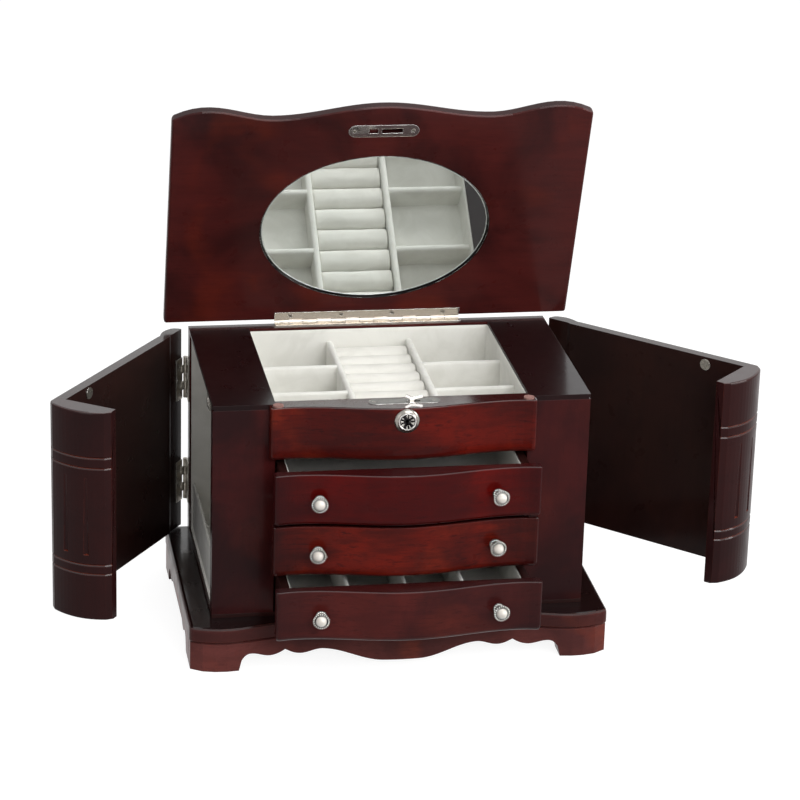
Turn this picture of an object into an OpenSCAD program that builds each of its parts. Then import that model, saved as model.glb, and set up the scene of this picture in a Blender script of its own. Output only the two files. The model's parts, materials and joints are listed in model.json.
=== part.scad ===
// Vanity box with a mirror in its lid, three drawers and two wrap-round doors.
// The front faces -Y, +Z is up and the origin lies at floor level under the
// middle of the cabinet. It stands open: lid up, doors ajar, drawers pulled out.

/* [Base] */
// Width of the plinth slab
base_w = 326.8; // [322:0.1:350]
// How far the plinth's front corners lie in front of the cabinet's middle
base_reach = 105.5; // [105:0.1:125]
// Height of the bracket feet and apron below the slab
apron_h = 24; // [19:0.5:40]
// Thickness of the plinth slab
slab_t = 11.9; // [8:0.1:18]
// Rounding of the slab's upper edge
slab_round = 3; // [1:0.5:3.5]
// How far the apron is set in from the slab
apron_inset = 0.7; // [0.5:0.1:3]
// Thickness of the apron boards
apron_t = 9; // [6:0.5:10]
// Length of each bracket foot along the front
foot_l = 37; // [28:0.5:46]
// Length of each bracket foot along the sides
side_foot_l = 34; // [24:0.5:50]
// Length of the back bracket feet along the sides
back_foot_l = 16; // [12:0.5:24]
// Length of the quarter arch that springs from each foot
foot_arch = 8.6; // [6:0.1:16]
// Height of the apron's arches and cusps above the floor
cusp_z = 13; // [10:0.1:16]
// Height of the apron's lobes above the floor
lobe_z = 9; // [6:0.1:10]
// Height of the apron's belly above the floor
belly_z = 4.5; // [3:0.1:8]
// Half the length of the belly's straight stretch
belly_half = 14; // [8:0.5:20]
// Distance of the crest beside the belly from the middle
belly_crest_x = 60; // [50:0.5:66]
// Distance of the sharp cusp in the front apron from the middle
cusp_x = 89; // [85:0.5:95]
// Distance of a lobe's lowest point from its cusp
lobe_reach = 11.5; // [8:0.5:14]

/* [Curved front] */
// How far the middle of the front swells forward
wave_centre = 9; // [4:0.1:9.5]
// How far the hollow beside the middle falls back
wave_trough = 1.5; // [0:0.1:3]
// Distance of that hollow from the middle
wave_trough_x = 85; // [75:0.5:95]
// How far the outer swelling comes forward
wave_crest = 7.5; // [4:0.1:9]
// Distance of the outer swelling from the middle
wave_crest_x = 137.5; // [125:0.5:145]

/* [Cabinet] */
// Width of the cabinet
cab_w = 290; // [280:0.5:292]
// Depth of the cabinet
cab_d = 182.4; // [170:0.2:190]
// Height of the cabinet above the plinth
cab_h = 174.1; // [170:0.1:200]
// Thickness of the front stiles
stile_t = 11.2; // [8:0.1:14]
// Thickness of the walls beside the bay
wall_t = 6; // [4:0.5:10]
// Thickness of the back panel
back_t = 11.5; // [8:0.1:14]
// Thickness of the bottom board
bottom_t = 3; // [2:0.5:4]
// Thickness of the boards over the side compartments
top_t = 4; // [3:0.1:6]
// Thickness of the fabric-covered card linings
lining_t = 1; // [0.6:0.1:1.5]
// Rebate along the lower edge of those boards
rebate = 1.2; // [0.6:0.1:2]

/* [Tray] */
// Depth of the tray below the cabinet's top
tray_depth = 35.1; // [28:0.1:36]
// Thickness of the tray floor
tray_floor_t = 3; // [2:0.1:4]
// Height of the tray dividers
divider_h = 23.2; // [15:0.1:26]
// Thickness of the tray dividers
divider_t = 5; // [3:0.1:6]
// Width of the middle strip with the ring rolls
roll_zone_w = 59.4; // [45:0.1:70]
// Diameter of a ring roll
roll_d = 20; // [14:0.1:20.2]
// Number of ring rolls
roll_count = 8; // [4:1:8]
// Length of the front cell of each side of the tray
front_cell = 45.7; // [30:0.1:55]
// Length of the middle cell of each side of the tray
middle_cell = 52.9; // [35:0.1:60]

/* [Lock rail and drawer fronts] */
// Width of the rail and of the drawer fronts
front_w = 204; // [202:0.5:205]
// Height of each drawer front
front_h = 41.3; // [39:0.1:41.5]
// How much higher than a drawer front the lock rail is
rail_extra = 1.7; // [0:0.1:1.8]
// How far the rail's top lies below the cabinet's top
rail_sink = 0.1; // [0:0.05:0.5]
// Gap between neighbouring fronts
front_gap = 2.2; // [1.5:0.1:3.5]
// Thickness of a front at the corner line
front_t = 9.1; // [7:0.1:9.2]
// Rounding of a front's lower edge
nose_r = 5; // [2:0.5:5.5]
// Rounding of a front's other edges
front_r = 1.4; // [0.6:0.1:2]
// Rounding at a front's two ends
front_end_r = 3; // [1:0.5:4]
// How far the rail reaches back behind the stiles' front face
rail_back = 6.6; // [5:0.1:8]

/* [Drawers] */
// Width of a drawer box
box_w = 191.5; // [178:0.5:194]
// Gap between a drawer box and each wall of its bay
box_gap = 1.5; // [0.5:0.1:3]
// Height of a drawer box
box_h = 35.5; // [28:0.5:36]
// Length of a drawer box behind its front
box_l = 166; // [140:0.5:166]
// Thickness of a drawer's sides and back
box_t = 6.2; // [4:0.1:8]
// Thickness of a drawer's bottom
box_floor_t = 3; // [2:0.1:4]
// How far the box bottom lies above the front's lower edge
box_rise = 1.1; // [1:0.1:1.6]
// Running gap under a drawer box
run_gap = 0.3; // [0.2:0.05:0.4]
// Thickness of the shelves that the drawers run on
shelf_t = 3; // [2:0.1:3.2]
// How far the upper drawer stands open
open_1 = 28; // [0:0.5:100]
// How far the middle drawer stands open
open_2 = 23.5; // [0:0.5:100]
// How far the lower drawer stands open
open_3 = 46; // [0:0.5:100]
// Thickness of the dividers in the lower drawer
cell_wall_t = 3; // [2:0.1:5]
// How far a drawer's lining ends below the top of its sides
lining_drop = 0.8; // [0.4:0.1:3]

/* [Knobs] */
// Distance of a knob from the middle
knob_x = 68; // [45:0.5:75]
// Diameter of a knob's foot plate
rosette_d = 8.5; // [7:0.1:12]
// Diameter of a knob's beaded ring
bead_ring_d = 13.2; // [11:0.1:16]
// Number of beads in the ring
bead_count = 22; // [14:1:24]
// Diameter of the pearl
pearl_d = 8.4; // [7:0.1:10.5]
// Width of a bead across its ring
bead_w = 1.15; // [0.7:0.05:1.3]
// Width of the plain rim between the pearl and the beads
bezel_w = 0.5; // [0.3:0.1:1]
// Diameter of a knob's neck
knob_neck_d = 3.8; // [3.2:0.1:5]
// Diameter of the bolt that holds a knob
bolt_d = 3; // [2:0.1:3.5]
// Depth of a knob's seat in the face
knob_seat = 0.6; // [0.3:0.1:1]
// How far the pearl's tip stands out from the front
knob_l = 13.7; // [13:0.1:22]

/* [Doors] */
// How far the left door stands open, in degrees
left_open = 34.55; // [0:0.05:100]
// How far the right door stands open, in degrees
right_open = 45.9; // [0:0.05:100]
// Gap between the cabinet's side and a closed door
door_gap = 2.5; // [2.4:0.1:4]
// Thickness of a door's side panel
door_t = 8.3; // [6.5:0.1:9]
// Width of a door's front panel
door_front_w = 51.5; // [47:0.1:53]
// Length of the rounded post at the hinged end of a door's side
post_l = 24; // [18:1.5:36]
// How far that post swells outwards
post_swell = 2.5; // [1:0.1:4]
// How far that post's inner face is set back for the hinges
post_step = 1.2; // [0.4:0.1:2]
// Gap between the stiles' front and a closed door
door_front_gap = 1.1; // [0.6:0.1:2]
// Thickness of a door's front panel at its free edge
door_edge_t = 8.7; // [7:0.1:12]
// How far a door's front swells beyond its free edge
door_swell = 8.5; // [4:0.1:10]
// Gap under a door
door_foot_gap = 1.8; // [1:0.1:3]
// Gap between a door's top edge and the cabinet's top
door_head_gap = 2.5; // [1:0.1:5]
// Depth of the grooves across a door's front
groove_depth = 1; // [0.5:0.1:1.5]
// Width of those grooves
groove_w = 2.2; // [1.4:0.1:3]
// Height of the lowest groove above the door's foot
foot_groove = 38; // [30:0.5:44]
// Distance between the two lower grooves
foot_groove_gap = 7.5; // [5:0.5:12]
// Distance of the highest groove below the door's head
head_groove = 36.8; // [28:0.1:44]
// Distance between the two upper grooves
head_groove_gap = 8.5; // [5:0.5:12]
// Distance of a flute from the middle of a door's front
flute_x = 9; // [6:0.5:14]
// Radius of a flute at its foot
flute_foot_r = 2.4; // [1.6:0.1:3]
// Radius of a flute at its head
flute_head_r = 1.5; // [1:0.1:2.4]
// How far a flute ends from the grooves
flute_clear = 8; // [4:0.5:14]
// How far a flute's axis lies in front of the face
flute_out = 1.2; // [0.6:0.1:1.4]
// Rounding of the hinged post's back edge
post_round = 4; // [2:0.5:6]
// Depth of the seam in front of that post
post_seam = 0.8; // [0.3:0.1:1.5]
// Width of that seam
seam_w = 1; // [0.6:0.1:1.5]
// Length of the recess for the hinges in the post's inner face
recess_l = 18; // [14:0.5:30]
// Length of the ramp at that recess's end
recess_ramp = 3; // [1:0.5:6]
// How far a closed door ends in front of the cabinet's back
door_back_gap = 1.4; // [1:0.1:3]

/* [Lid] */
// Width of the lid
lid_w = 328.8; // [324:0.1:350]
// Depth of the lid at its corners
lid_d = 198.1; // [195:0.1:210]
// Thickness of the lid
lid_t = 8; // [7:0.1:12]
// Rounding of the lid's edges
lid_round = 2; // [1:0.1:3]
// Gap between the closed lid and the cabinet
lid_gap = 1.4; // [1.4:0.05:2]
// Half the width of the oval mirror
mirror_half_w = 92; // [60:0.5:110]
// Half the depth of the oval mirror
mirror_half_d = 70.7; // [45:0.1:74]
// Distance of the mirror's middle from the lid's back edge
mirror_y = 90; // [86:0.5:94]
// How deep the glass lies below the lid's inner face
mirror_sink = 2.3; // [1:0.1:2.8]
// Thickness of the mirror glass
mirror_t = 3; // [2:0.1:3]
// How far the lid stands open, in degrees
lid_open = 70.1; // [0:0.1:95]
// How far the lid reaches out behind the cabinet
lid_lap = 0.2; // [0:0.05:0.4]

/* [Hinges] */
// Length of the lid's piano hinge
lid_hinge_l = 150.8; // [100:0.1:180]
// Number of knuckles of the lid's hinge
lid_knuckles = 13; // [7:2:17]
// Diameter of the lid hinge's knuckles
lid_knuckle_d = 3.4; // [3:0.1:3.6]
// Thickness of the lid hinge's leaves
lid_leaf_t = 0.6; // [0.4:0.05:0.65]
// Width of the lid hinge's leaves on the wood
lid_leaf_w = 7; // [5:0.1:9]
// How far the lid hinge's pin lies behind the cabinet
lid_pin_out = 2; // [2:0.05:2.4]
// Diameter of the lid hinge's pin
lid_pin_d = 1.6; // [1.2:0.1:1.8]
// Height of a door hinge
door_hinge_h = 35; // [25:0.5:45]
// Diameter of a door hinge's knuckles
door_knuckle_d = 3.8; // [3.4:0.1:4]
// Thickness of a door hinge's leaves
door_leaf_t = 1; // [0.6:0.05:1.1]
// Width of a door hinge's leaves on the wood
door_leaf_w = 9.5; // [7:0.1:11]
// How far a door hinge's pin lies behind the cabinet
door_pin_out = 2.2; // [2.15:0.05:2.6]
// Diameter of a door hinge's pin
door_pin_d = 1.8; // [1.4:0.1:2]
// Height of the upper door hinges' middle above the plinth
door_hinge_top = 130; // [110:0.5:140]
// Height of the lower door hinges' middle above the plinth
door_hinge_low = 42; // [30:0.5:60]
// Running clearance round a hinge pin
pin_clear = 0.05; // [0.02:0.01:0.08]
// Gap between neighbouring knuckles
knuckle_gap = 0.2; // [0.1:0.05:0.3]
// Number of knuckles of a door hinge
door_knuckles = 5; // [3:2:7]
// Distance of the lid hinge's outer screws from its ends
hinge_screw_inset = 13; // [6:0.5:20]
// Diameter of a screw's head
screw_head_d = 3; // [2.4:0.1:3.4]
// Thickness of a screw's head
screw_head_t = 0.3; // [0.2:0.05:0.35]
// Diameter of a screw's shank
screw_shank_d = 1.6; // [1.2:0.1:2]
// Length of a screw's shank
screw_l = 6; // [4:0.1:6.4]

/* [Lock] */
// Length of the lock's top plate and of the strike plate
plate_l = 55; // [45:0.5:60]
// Width of the two plates
plate_w = 11; // [8:0.1:12]
// Thickness of the two plates
plate_t = 1; // [0.8:0.1:1.5]
// How far the two plates stand proud of the wood
plate_proud = 0.4; // [0.2:0.05:0.5]
// Distance of the lock's middle plane in front of the cabinet's middle
lock_y = 93.5; // [92:0.1:95]
// Diameter of the escutcheon
escutcheon_d = 19; // [15:0.1:19.2]
// Depth of the escutcheon's seat in the face
escutcheon_seat = 0.8; // [0.4:0.1:1.2]
// Diameter of the lock plug
plug_d = 11; // [8:0.1:12]
// Distance of the plug's middle below the cabinet's top
plug_drop = 10; // [9.8:0.1:12]
// Place of the hook bolt's stem beside the middle
hook_x = 6; // [4:0.1:8]
// How far the hook bolt slides when the key turns
hook_throw = 2; // [1:0.1:3]
// Diameter of the bumper pads
pad_d = 8; // [6:0.1:9]
// Diameter of the door magnets
magnet_d = 8; // [6:0.1:9]
// Thickness of the bumper pads
pad_t = 1.2; // [0.8:0.1:1.25]
// Distance of a bumper pad from the end of the rail
pad_inset = 6; // [5:0.5:12]
// Distance of the plates' screws from their ends
plate_screw_inset = 4.5; // [3.5:0.1:8]
// Length of the lock case
case_l = 40; // [30:0.5:44]
// Thickness of the lock case
case_t = 8; // [6:0.1:8.4]
// Height of the lock case
case_h = 22; // [18:0.5:26]
// Clearance round the lock case in its mortise
case_clear = 0.2; // [0.1:0.05:0.4]
// Thickness of the hook bolt
hook_t = 1.6; // [1.2:0.1:2]
// Height of the hook bolt's claws
claw_h = 2; // [1.2:0.1:2.4]
// Length of the hook bolt's left claw
claw_left = 5.6; // [4:0.1:6]
// Length of the hook bolt's right claw
claw_right = 8.4; // [6:0.1:8.6]
// Width of the slots in the strike plate
slot_w = 4.2; // [3:0.1:5]
// How far the strike's long slot reaches past the left claw
slot_spare_left = 2; // [1:0.1:3]
// How far the strike's long slot reaches past the right claw
slot_spare_right = 0.4; // [0.4:0.1:2]
// Length of the strike plate's short slot
short_slot_l = 7; // [5:0.1:9]
// Width of the bridge between the strike plate's two slots
slot_bridge = 3; // [2:0.1:5]
// Distance of the magnets behind the front of the cabinet
magnet_back = 33.2; // [20:0.1:60]
// How far a magnet stands proud of its block
magnet_t = 0.6; // [0.3:0.1:1]
// Width of a magnet's block
block_w = 12; // [8:0.5:20]
// Length of a magnet's block
block_l = 14; // [11:0.5:20]
// Rim of a magnet's block round the magnet
block_rim = 0.7; // [0.5:0.1:2]
// Thickness of a door's catch disc
catch_t = 0.8; // [0.4:0.1:1]

/* [Side compartments] */
// Height of the retaining pocket
pocket_h = 41; // [30:0.5:60]
// Thickness of the pocket's fabric
pocket_t = 1.2; // [0.8:0.1:2]
// Number of necklace hooks on each side
hook_count = 4; // [2:1:6]
// Height of the hem along the pocket's edge
hem_h = 4; // [2:0.5:6]
// Thickness of that hem
hem_t = 0.8; // [0.4:0.1:1.2]
// How far the pocket bulges inwards
pocket_bulge = 1.4; // [0.5:0.1:3]
// Diameter of the hooks' wire
hook_wire = 1.6; // [1:0.1:2]
// How far the hooks hang down
hook_drop = 7; // [5:0.5:12]
// Distance of the strip with the hooks from the compartment's ends
strip_inset = 25; // [5:0.5:40]
// Width of that strip
strip_w = 8; // [6:0.5:12]
// Thickness of that strip
strip_t = 2; // [1:0.1:3]
// Inner radius of a hook's bend
hook_bend = 3; // [2:0.1:4]

/* [Hidden] */
base_z = apron_h + slab_t;
cab_top = base_z + cab_h;
half_cab = cab_w / 2;
bay_w = box_w + 2 * box_gap;
half_bay = bay_w / 2;
front_y = -cab_d / 2;
back_y = cab_d / 2;
inner_back = back_y - back_t;
floor_z = base_z + bottom_t;
under_top = cab_top - top_t;
wall_out = half_bay + wall_t;
stile_back = front_y + stile_t;
lid_half = lid_w / 2;
facet_step = 7;
edge_steps = [0, 0.12, 0.45, 1];

tray_z = cab_top - tray_depth;
rail_inner = front_y + rail_back;
tray_front = rail_inner + lining_t;
tray_back = inner_back - lining_t;
tray_side = half_bay - lining_t;
long_x = (roll_zone_w + divider_t) / 2;
cross_y1 = tray_front + front_cell + divider_t / 2;
cross_y2 = cross_y1 + middle_cell + divider_t;

rail_top = cab_top - rail_sink;
pitch_z = front_h + front_gap;
rail_h = front_h + rail_extra;
rail_z = rail_top - rail_h;
closed_gap = 0.3;
front_back_y = front_y - closed_gap;
face_y = front_y - front_t;
drawer_open = [open_1, open_2, open_3];
box_half = box_w / 2;

corner_x = half_cab + door_gap + door_t;
door_z0 = base_z + door_foot_gap;
door_z1 = cab_top - door_head_gap;
door_inner_y = front_y - door_front_gap;
door_free_x = corner_x - door_front_w;
door_crest_x = corner_x - door_front_w / 2;
door_back_y = back_y - door_back_gap;
door_pin_x = half_cab + (door_gap + post_step) / 2;
door_pin_y = back_y + door_pin_out;
door_pin_r = door_pin_d / 2;
door_knuckle_r = door_knuckle_d / 2;

lid_back_y = back_y + lid_lap;
lid_z = cab_top + lid_gap;
lid_front = lid_back_y - lid_d;
lid_pin_y = back_y + lid_pin_out;
lid_pin_z = cab_top + lid_gap / 2;
lid_pin_r = lid_pin_d / 2;
lid_knuckle_r = lid_knuckle_d / 2;
mirror_mid = lid_back_y - mirror_y;
plug_z = cab_top - plug_drop;
escutcheon_y = face_y - wave_centre + escutcheon_seat;
leaf_seat = lid_leaf_t - screw_head_t;
lid_screw_xs = [for (k = [-3:2:3]) k * (lid_hinge_l / 2 - hinge_screw_inset) / 3];
plate_screw_x = plate_l / 2 - plate_screw_inset;
strike_z = lid_z - plate_proud;
strike_seat = strike_z + screw_head_t;
plate_z = rail_top + plate_proud - plate_t;
plate_seat = plate_z + plate_t - screw_head_t;
case_top = plate_z - case_clear;
strike_slot = [hook_x - claw_left - slot_spare_left, hook_x + claw_right + slot_spare_right];
strike_hole = [strike_slot[0] - slot_bridge - short_slot_l, strike_slot[0] - slot_bridge];
pad_x = front_w / 2 - pad_inset;
pad_y = front_y - rail_sink - pad_d / 2;
block_y = front_y + magnet_back;
block_h = magnet_d + 2 * block_rim;
post_pitch = 1.5;
groove_zs = [foot_groove, foot_groove + foot_groove_gap,
    door_z1 - door_z0 - head_groove - head_groove_gap, door_z1 - door_z0 - head_groove];

// Forward swell of the curved front at a distance from the middle
function wave(x) = let (a = abs(x))
    a < wave_trough_x
        ? -wave_trough + (wave_centre + wave_trough) * (1 + cos(180 * a / wave_trough_x)) / 2
    : a < wave_crest_x
        ? -wave_trough + (wave_crest + wave_trough)
            * (1 - cos(180 * (a - wave_trough_x) / (wave_crest_x - wave_trough_x))) / 2
    : wave_crest * (1 - pow((a - wave_crest_x) / (lid_half - wave_crest_x), 2));

function wave_slope(x) = atan((wave(x + 0.5) - wave(x - 0.5)));

// Stations along a panel, closer together where its two ends are rounded
function stations(x0, x1, r) = let (n = ceil((x1 - x0 - 2 * r) / facet_step))
    concat([for (s = edge_steps) x0 + s * r],
        [for (i = [1:n - 1]) x0 + r + (x1 - x0 - 2 * r) * i / n],
        [for (i = [3:-1:0]) x1 - edge_steps[i] * r]);

// How far a rounded end draws in at a distance d from it
function draw_in(d, r) = d >= r ? 0 : r - sqrt(r * r - (r - d) * (r - d));

// Skin over rings of points that follow one another along an axis
module loft(rings) {
    n = len(rings[0]);
    m = len(rings);
    polyhedron(points = [for (r = rings) each r], convexity = 8,
        faces = concat([[for (j = [0:n - 1]) j]],
            [[for (j = [n - 1:-1:0]) (m - 1) * n + j]],
            [for (i = [0:m - 2]) for (j = [0:n - 1])
                let (a = i * n + j, b = i * n + (j + 1) % n)
                each [[a, a + n, b + n], [a, b + n, b]]]));
}

// Section of a front seen from +X: back edge, then up the curved face.
// Each point is [y, z, share of the wave, draw-in of y, draw-in of z].
function front_section(yb, yf, z0, z1, r_low, r_top) = concat(
    [[yb, z1, 0, 0, -1], ],
    [for (a = [0:30:90]) [yf + r_top * (1 - sin(a)), z1 - r_top * (1 - cos(a)), 1, 1, -1]],
    [for (a = [0:22.5:90]) [yf + r_low * (1 - cos(a)), z0 + r_low * (1 - sin(a)), 1, 1, 1]],
    [[yb, z0, 0, 0, 1]]);

// Panel with a curved front between x0 and x1
module wave_panel(x0, x1, section, r_end, soften = 0.3) {
    loft([for (x = stations(x0, x1, r_end))
        let (e = draw_in(min(x - x0, x1 - x), r_end))
        [for (p = section) [x, p[0] - p[2] * wave(x) + p[3] * e, p[1] + p[4] * e * soften]]]);
}

module at_left() {
    mirror([1, 0, 0]) children();
}

module lid_pose(a = lid_open) {
    translate([0, lid_pin_y, lid_pin_z]) rotate([-a, 0, 0])
        translate([0, -lid_pin_y, -lid_pin_z]) children();
}

module door_pose(side) {
    a = side < 0 ? -left_open : right_open;
    translate([side * door_pin_x, door_pin_y, 0]) rotate([0, 0, a])
        translate([-side * door_pin_x, -door_pin_y, 0]) children();
}

module drawer_pose(i) {
    translate([0, -drawer_open[i - 1], 0]) children();
}

module rounded_bar(l, w, t) {
    linear_extrude(height = t) union() {
        square([l - w, w], center = true);
        translate([-(l - w) / 2, 0]) circle(d = w, $fn = 48);
        translate([(l - w) / 2, 0]) circle(d = w, $fn = 48);
    }
}

// Plinth

module base_slab() {
    yf = -base_reach;
    section = concat([[back_y, base_z, 0, -1, -1]],
        [for (a = [0:30:90])
            [yf + slab_round * (1 - sin(a)), base_z - slab_round * (1 - cos(a)), 1, 1, -1]],
        [[yf, apron_h + 1, 1, 1, 0], [yf + 1, apron_h, 1, 1, 0], [back_y, apron_h, 0, -1, 0]]);
    color("#4a1a1a") wave_panel(-base_w / 2, base_w / 2, section, slab_round, 1);
}

// Smooth swing of a height from z0 at x0 to z1 at x1
function swing(x, x0, x1, z0, z1) = z0 + (z1 - z0) * (1 - cos(180 * (x - x0) / (x1 - x0))) / 2;

// Height of a lobe at a distance d from its sharp cusp
function lobe(d) = lobe_z + (cusp_z - lobe_z) * pow(1 - d / lobe_reach, 2);

// Lower edge of the front apron at a distance a from its middle
function apron_edge(a, half) = let (foot = half - foot_l, arch = foot - foot_arch)
    a > foot ? 0
    : a > arch ? cusp_z * sqrt(1 - pow((a - arch) / foot_arch, 2))
    : a > cusp_x + lobe_reach ? swing(a, cusp_x + lobe_reach, arch, lobe_z, cusp_z)
    : a > cusp_x - lobe_reach ? lobe(abs(a - cusp_x))
    : a > belly_crest_x ? swing(a, belly_crest_x, cusp_x - lobe_reach, cusp_z, lobe_z)
    : a > belly_half ? swing(a, belly_half, belly_crest_x, belly_z, cusp_z)
    : belly_z;

module base_apron() {
    half = base_w / 2 - apron_inset;
    yf = -base_reach + apron_inset;
    yb = yf + apron_t + 3;
    n = 62;
    foot = half - foot_l;
    xs = concat([for (i = [0:4]) -half + foot_l * i / 4],
        [for (i = [0:2 * n]) -foot + 0.01 + (2 * foot - 0.02) * i / (2 * n)],
        [for (i = [0:4]) foot + foot_l * i / 4]);
    color("#5a2420") loft([for (x = xs)
        let (z = apron_edge(abs(x), half), e = draw_in(half - abs(x), 2), y = yf - wave(x) + e)
        [[x, yb, apron_h], [x, y + 1.3, apron_h], [x, y + 1.3, apron_h - 0.4],
            [x, y, apron_h - 1.6], [x, y, z], [x, yb, z]]]);
}

// Lower edge of a side or back apron at a distance s from its end
function side_edge(s, foot) = let (arch = foot + foot_arch, low = arch + lobe_reach)
    s < foot ? 0
    : s < arch ? cusp_z * sqrt(1 - pow((arch - s) / foot_arch, 2))
    : s < low ? swing(s, arch, low, cusp_z, lobe_z)
    : s < low + lobe_reach ? lobe(low + lobe_reach - s)
    : cusp_z;

module side_rail() {
    half = base_w / 2 - apron_inset;
    y0 = -base_reach + apron_inset + apron_t + 3;
    y1 = back_y - apron_inset - apron_t;
    l = y1 - y0;
    foot_1 = side_foot_l - apron_t - 3;
    translate([half, 0, 0]) rotate([0, -90, 0]) linear_extrude(height = apron_t)
        polygon(concat([[apron_h, y1], [apron_h, y0]],
            [for (s = [0:1.5:l / 2]) [side_edge(s, foot_1), y0 + s]],
            [for (s = [floor(l / 2 / 1.5) * 1.5:-1.5:0]) [side_edge(s, back_foot_l), y1 - s]]));
}

module base_rails() {
    half = base_w / 2 - apron_inset;
    y1 = back_y - apron_inset;
    foot = foot_l - 4;
    color("#5a2420") {
        side_rail();
        at_left() side_rail();
        translate([0, y1, 0]) rotate([90, 0, 0]) linear_extrude(height = apron_t)
            polygon(concat([[half, apron_h], [-half, apron_h]],
                [for (s = [0:2:half]) [-half + s, side_edge(s, foot)]],
                [for (s = [floor(half / 2) * 2:-2:0]) [half - s, side_edge(s, foot)]]));
    }
}

// Cabinet

module bottom_board() {
    color("#3c1416") translate([-half_cab, front_y, base_z])
        cube([cab_w, cab_d - back_t, bottom_t]);
}

module back_panel() {
    color("#4a181a") difference() {
        translate([-half_cab, inner_back, base_z]) cube([cab_w, back_t, cab_h]);
        for (x = lid_screw_xs)
            translate([x, back_y - lid_leaf_w / 2, cab_top + leaf_seat]) screw_hole();
    }
}

module inner_wall() {
    color("#3c1416") translate([half_bay, stile_back, floor_z])
        cube([wall_t, inner_back - stile_back, under_top - floor_z]);
}

module inner_wall_right() { inner_wall(); }
module inner_wall_left() { at_left() inner_wall(); }

module stile() {
    color("#3c191c") translate([half_bay, front_y, floor_z])
        cube([half_cab - half_bay, stile_t, under_top - floor_z]);
}

module stile_right() { stile(); }
module stile_left() { at_left() stile(); }

// Board over a side compartment, with a small rebate along its lower edge
module top_board() {
    color("#2a1012") translate([half_bay, front_y, under_top]) {
        cube([half_cab - half_bay - rebate, inner_back - front_y, top_t]);
        translate([0, 0, rebate]) cube([half_cab - half_bay, inner_back - front_y, top_t - rebate]);
    }
}

module top_board_right() { top_board(); }
module top_board_left() { at_left() top_board(); }

module lock_rail() {
    difference() {
        color("#7a1e1c") union() {
            wave_panel(-front_w / 2, front_w / 2,
                front_section(front_y, face_y, rail_z, rail_top, nose_r, front_r),
                front_end_r);
            translate([-half_bay, front_y - 1, rail_z]) cube([bay_w, rail_back + 1, rail_h]);
        }
        // mortise of the lock case, seat of its plate, bore of the plug, screw holes
        translate([-case_l / 2 - case_clear, -lock_y - case_t / 2 - case_clear,
            case_top - case_h - case_clear])
            cube([case_l + 2 * case_clear, case_t + 2 * case_clear, rail_h]);
        translate([0, -lock_y, plate_z]) rounded_bar(plate_l + 0.1, plate_w + 0.1, 5);
        translate([0, -lock_y, plug_z]) rotate([90, 0, 0])
            cylinder(d = plug_d + 0.4, h = 2 * (front_t + wave_centre), $fn = 48);
        translate([0, escutcheon_y, plug_z]) rotate([90, 0, 0])
            cylinder(d = escutcheon_d + 0.2, h = 20, $fn = 64);
        for (s = [-1, 1]) translate([s * plate_screw_x, -lock_y, plate_seat])
            screw_hole();
    }
}

module drawer_shelf(i) {
    z = drawer_z(i) + box_rise - run_gap - shelf_t;
    translate([-half_bay, front_y + 1, z]) cube([bay_w, inner_back - front_y - 1, shelf_t]);
}

module drawer_shelves() {
    color("#3c1416") for (i = [1:2]) drawer_shelf(i);
}

// Tray

module tray_floor() {
    color("#3c1416") translate([-half_bay, rail_inner, tray_z - lining_t - tray_floor_t])
        cube([bay_w, inner_back - rail_inner, tray_floor_t]);
}

module tray_lining() {
    lip = 2;
    z0 = tray_z - lining_t;
    color("#dedcd2") difference() {
        translate([-half_bay, rail_inner, z0])
            cube([bay_w, inner_back - rail_inner, rail_top - lip - z0]);
        translate([-tray_side, tray_front, tray_z])
            cube([2 * tray_side, tray_back - tray_front, tray_depth]);
    }
}

module tray_dividers() {
    color("#dedcd2") for (s = [-1, 1]) {
        translate([s * long_x - divider_t / 2, tray_front, tray_z])
            cube([divider_t, tray_back - tray_front, divider_h]);
        for (y = [cross_y1, cross_y2])
            translate([s > 0 ? long_x + divider_t / 2 : -tray_side, y - divider_t / 2, tray_z])
                cube([tray_side - long_x - divider_t / 2, divider_t, divider_h]);
    }
}

// Padded rolls side by side, each rounded at its two ends
module ring_rolls() {
    zone = tray_back - tray_front;
    r = roll_d / 2;
    half = roll_zone_w / 2 - 0.3;
    color("#dedcd2") for (i = [0:roll_count - 1])
        translate([0, tray_front + zone * (i + 0.5) / roll_count, tray_z + r]) rotate([0, 90, 0])
            rotate_extrude($fn = 48) polygon(concat([[0, -half]],
                [for (a = [0:30:90]) [r - 1.6 * (1 - sin(a)), -half + 1.6 * (1 - cos(a))]],
                [for (a = [90:-30:0]) [r - 1.6 * (1 - sin(a)), half - 1.6 * (1 - cos(a))]],
                [[0, half]]));
}

// Side compartments

module side_lining() {
    color("#dedcd2") translate([wall_out, stile_back, floor_z]) difference() {
        cube([half_cab - wall_out - 1.5, inner_back - stile_back, under_top - floor_z]);
        translate([lining_t, lining_t, lining_t])
            cube([cab_w, inner_back - stile_back - 2 * lining_t, cab_h]);
    }
}

module side_linings() {
    side_lining();
    at_left() side_lining();
}

// Fabric pocket along the open side, with a hem along its upper edge
module necklace_pocket() {
    x = half_cab - 2;
    z0 = floor_z + lining_t;
    y0 = stile_back + lining_t + 0.2;
    y1 = inner_back - lining_t - 0.2;
    z = z0 + pocket_h;
    b = pocket_bulge;
    color("#dedcd2") translate([0, y1, 0]) rotate([90, 0, 0]) linear_extrude(height = y1 - y0)
        polygon([[x - pocket_t, z0], [x - pocket_t - b, z0 + pocket_h * 0.45],
            [x - pocket_t - b, z - hem_h], [x - pocket_t - b - hem_t, z - hem_h + 0.5],
            [x - pocket_t - b - hem_t, z - 0.6], [x - pocket_t - b, z], [x - b, z],
            [x - b, z0 + pocket_h * 0.45], [x, z0]]);
}

module necklace_pocket_right() { necklace_pocket(); }
module necklace_pocket_left() { at_left() necklace_pocket(); }

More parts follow.
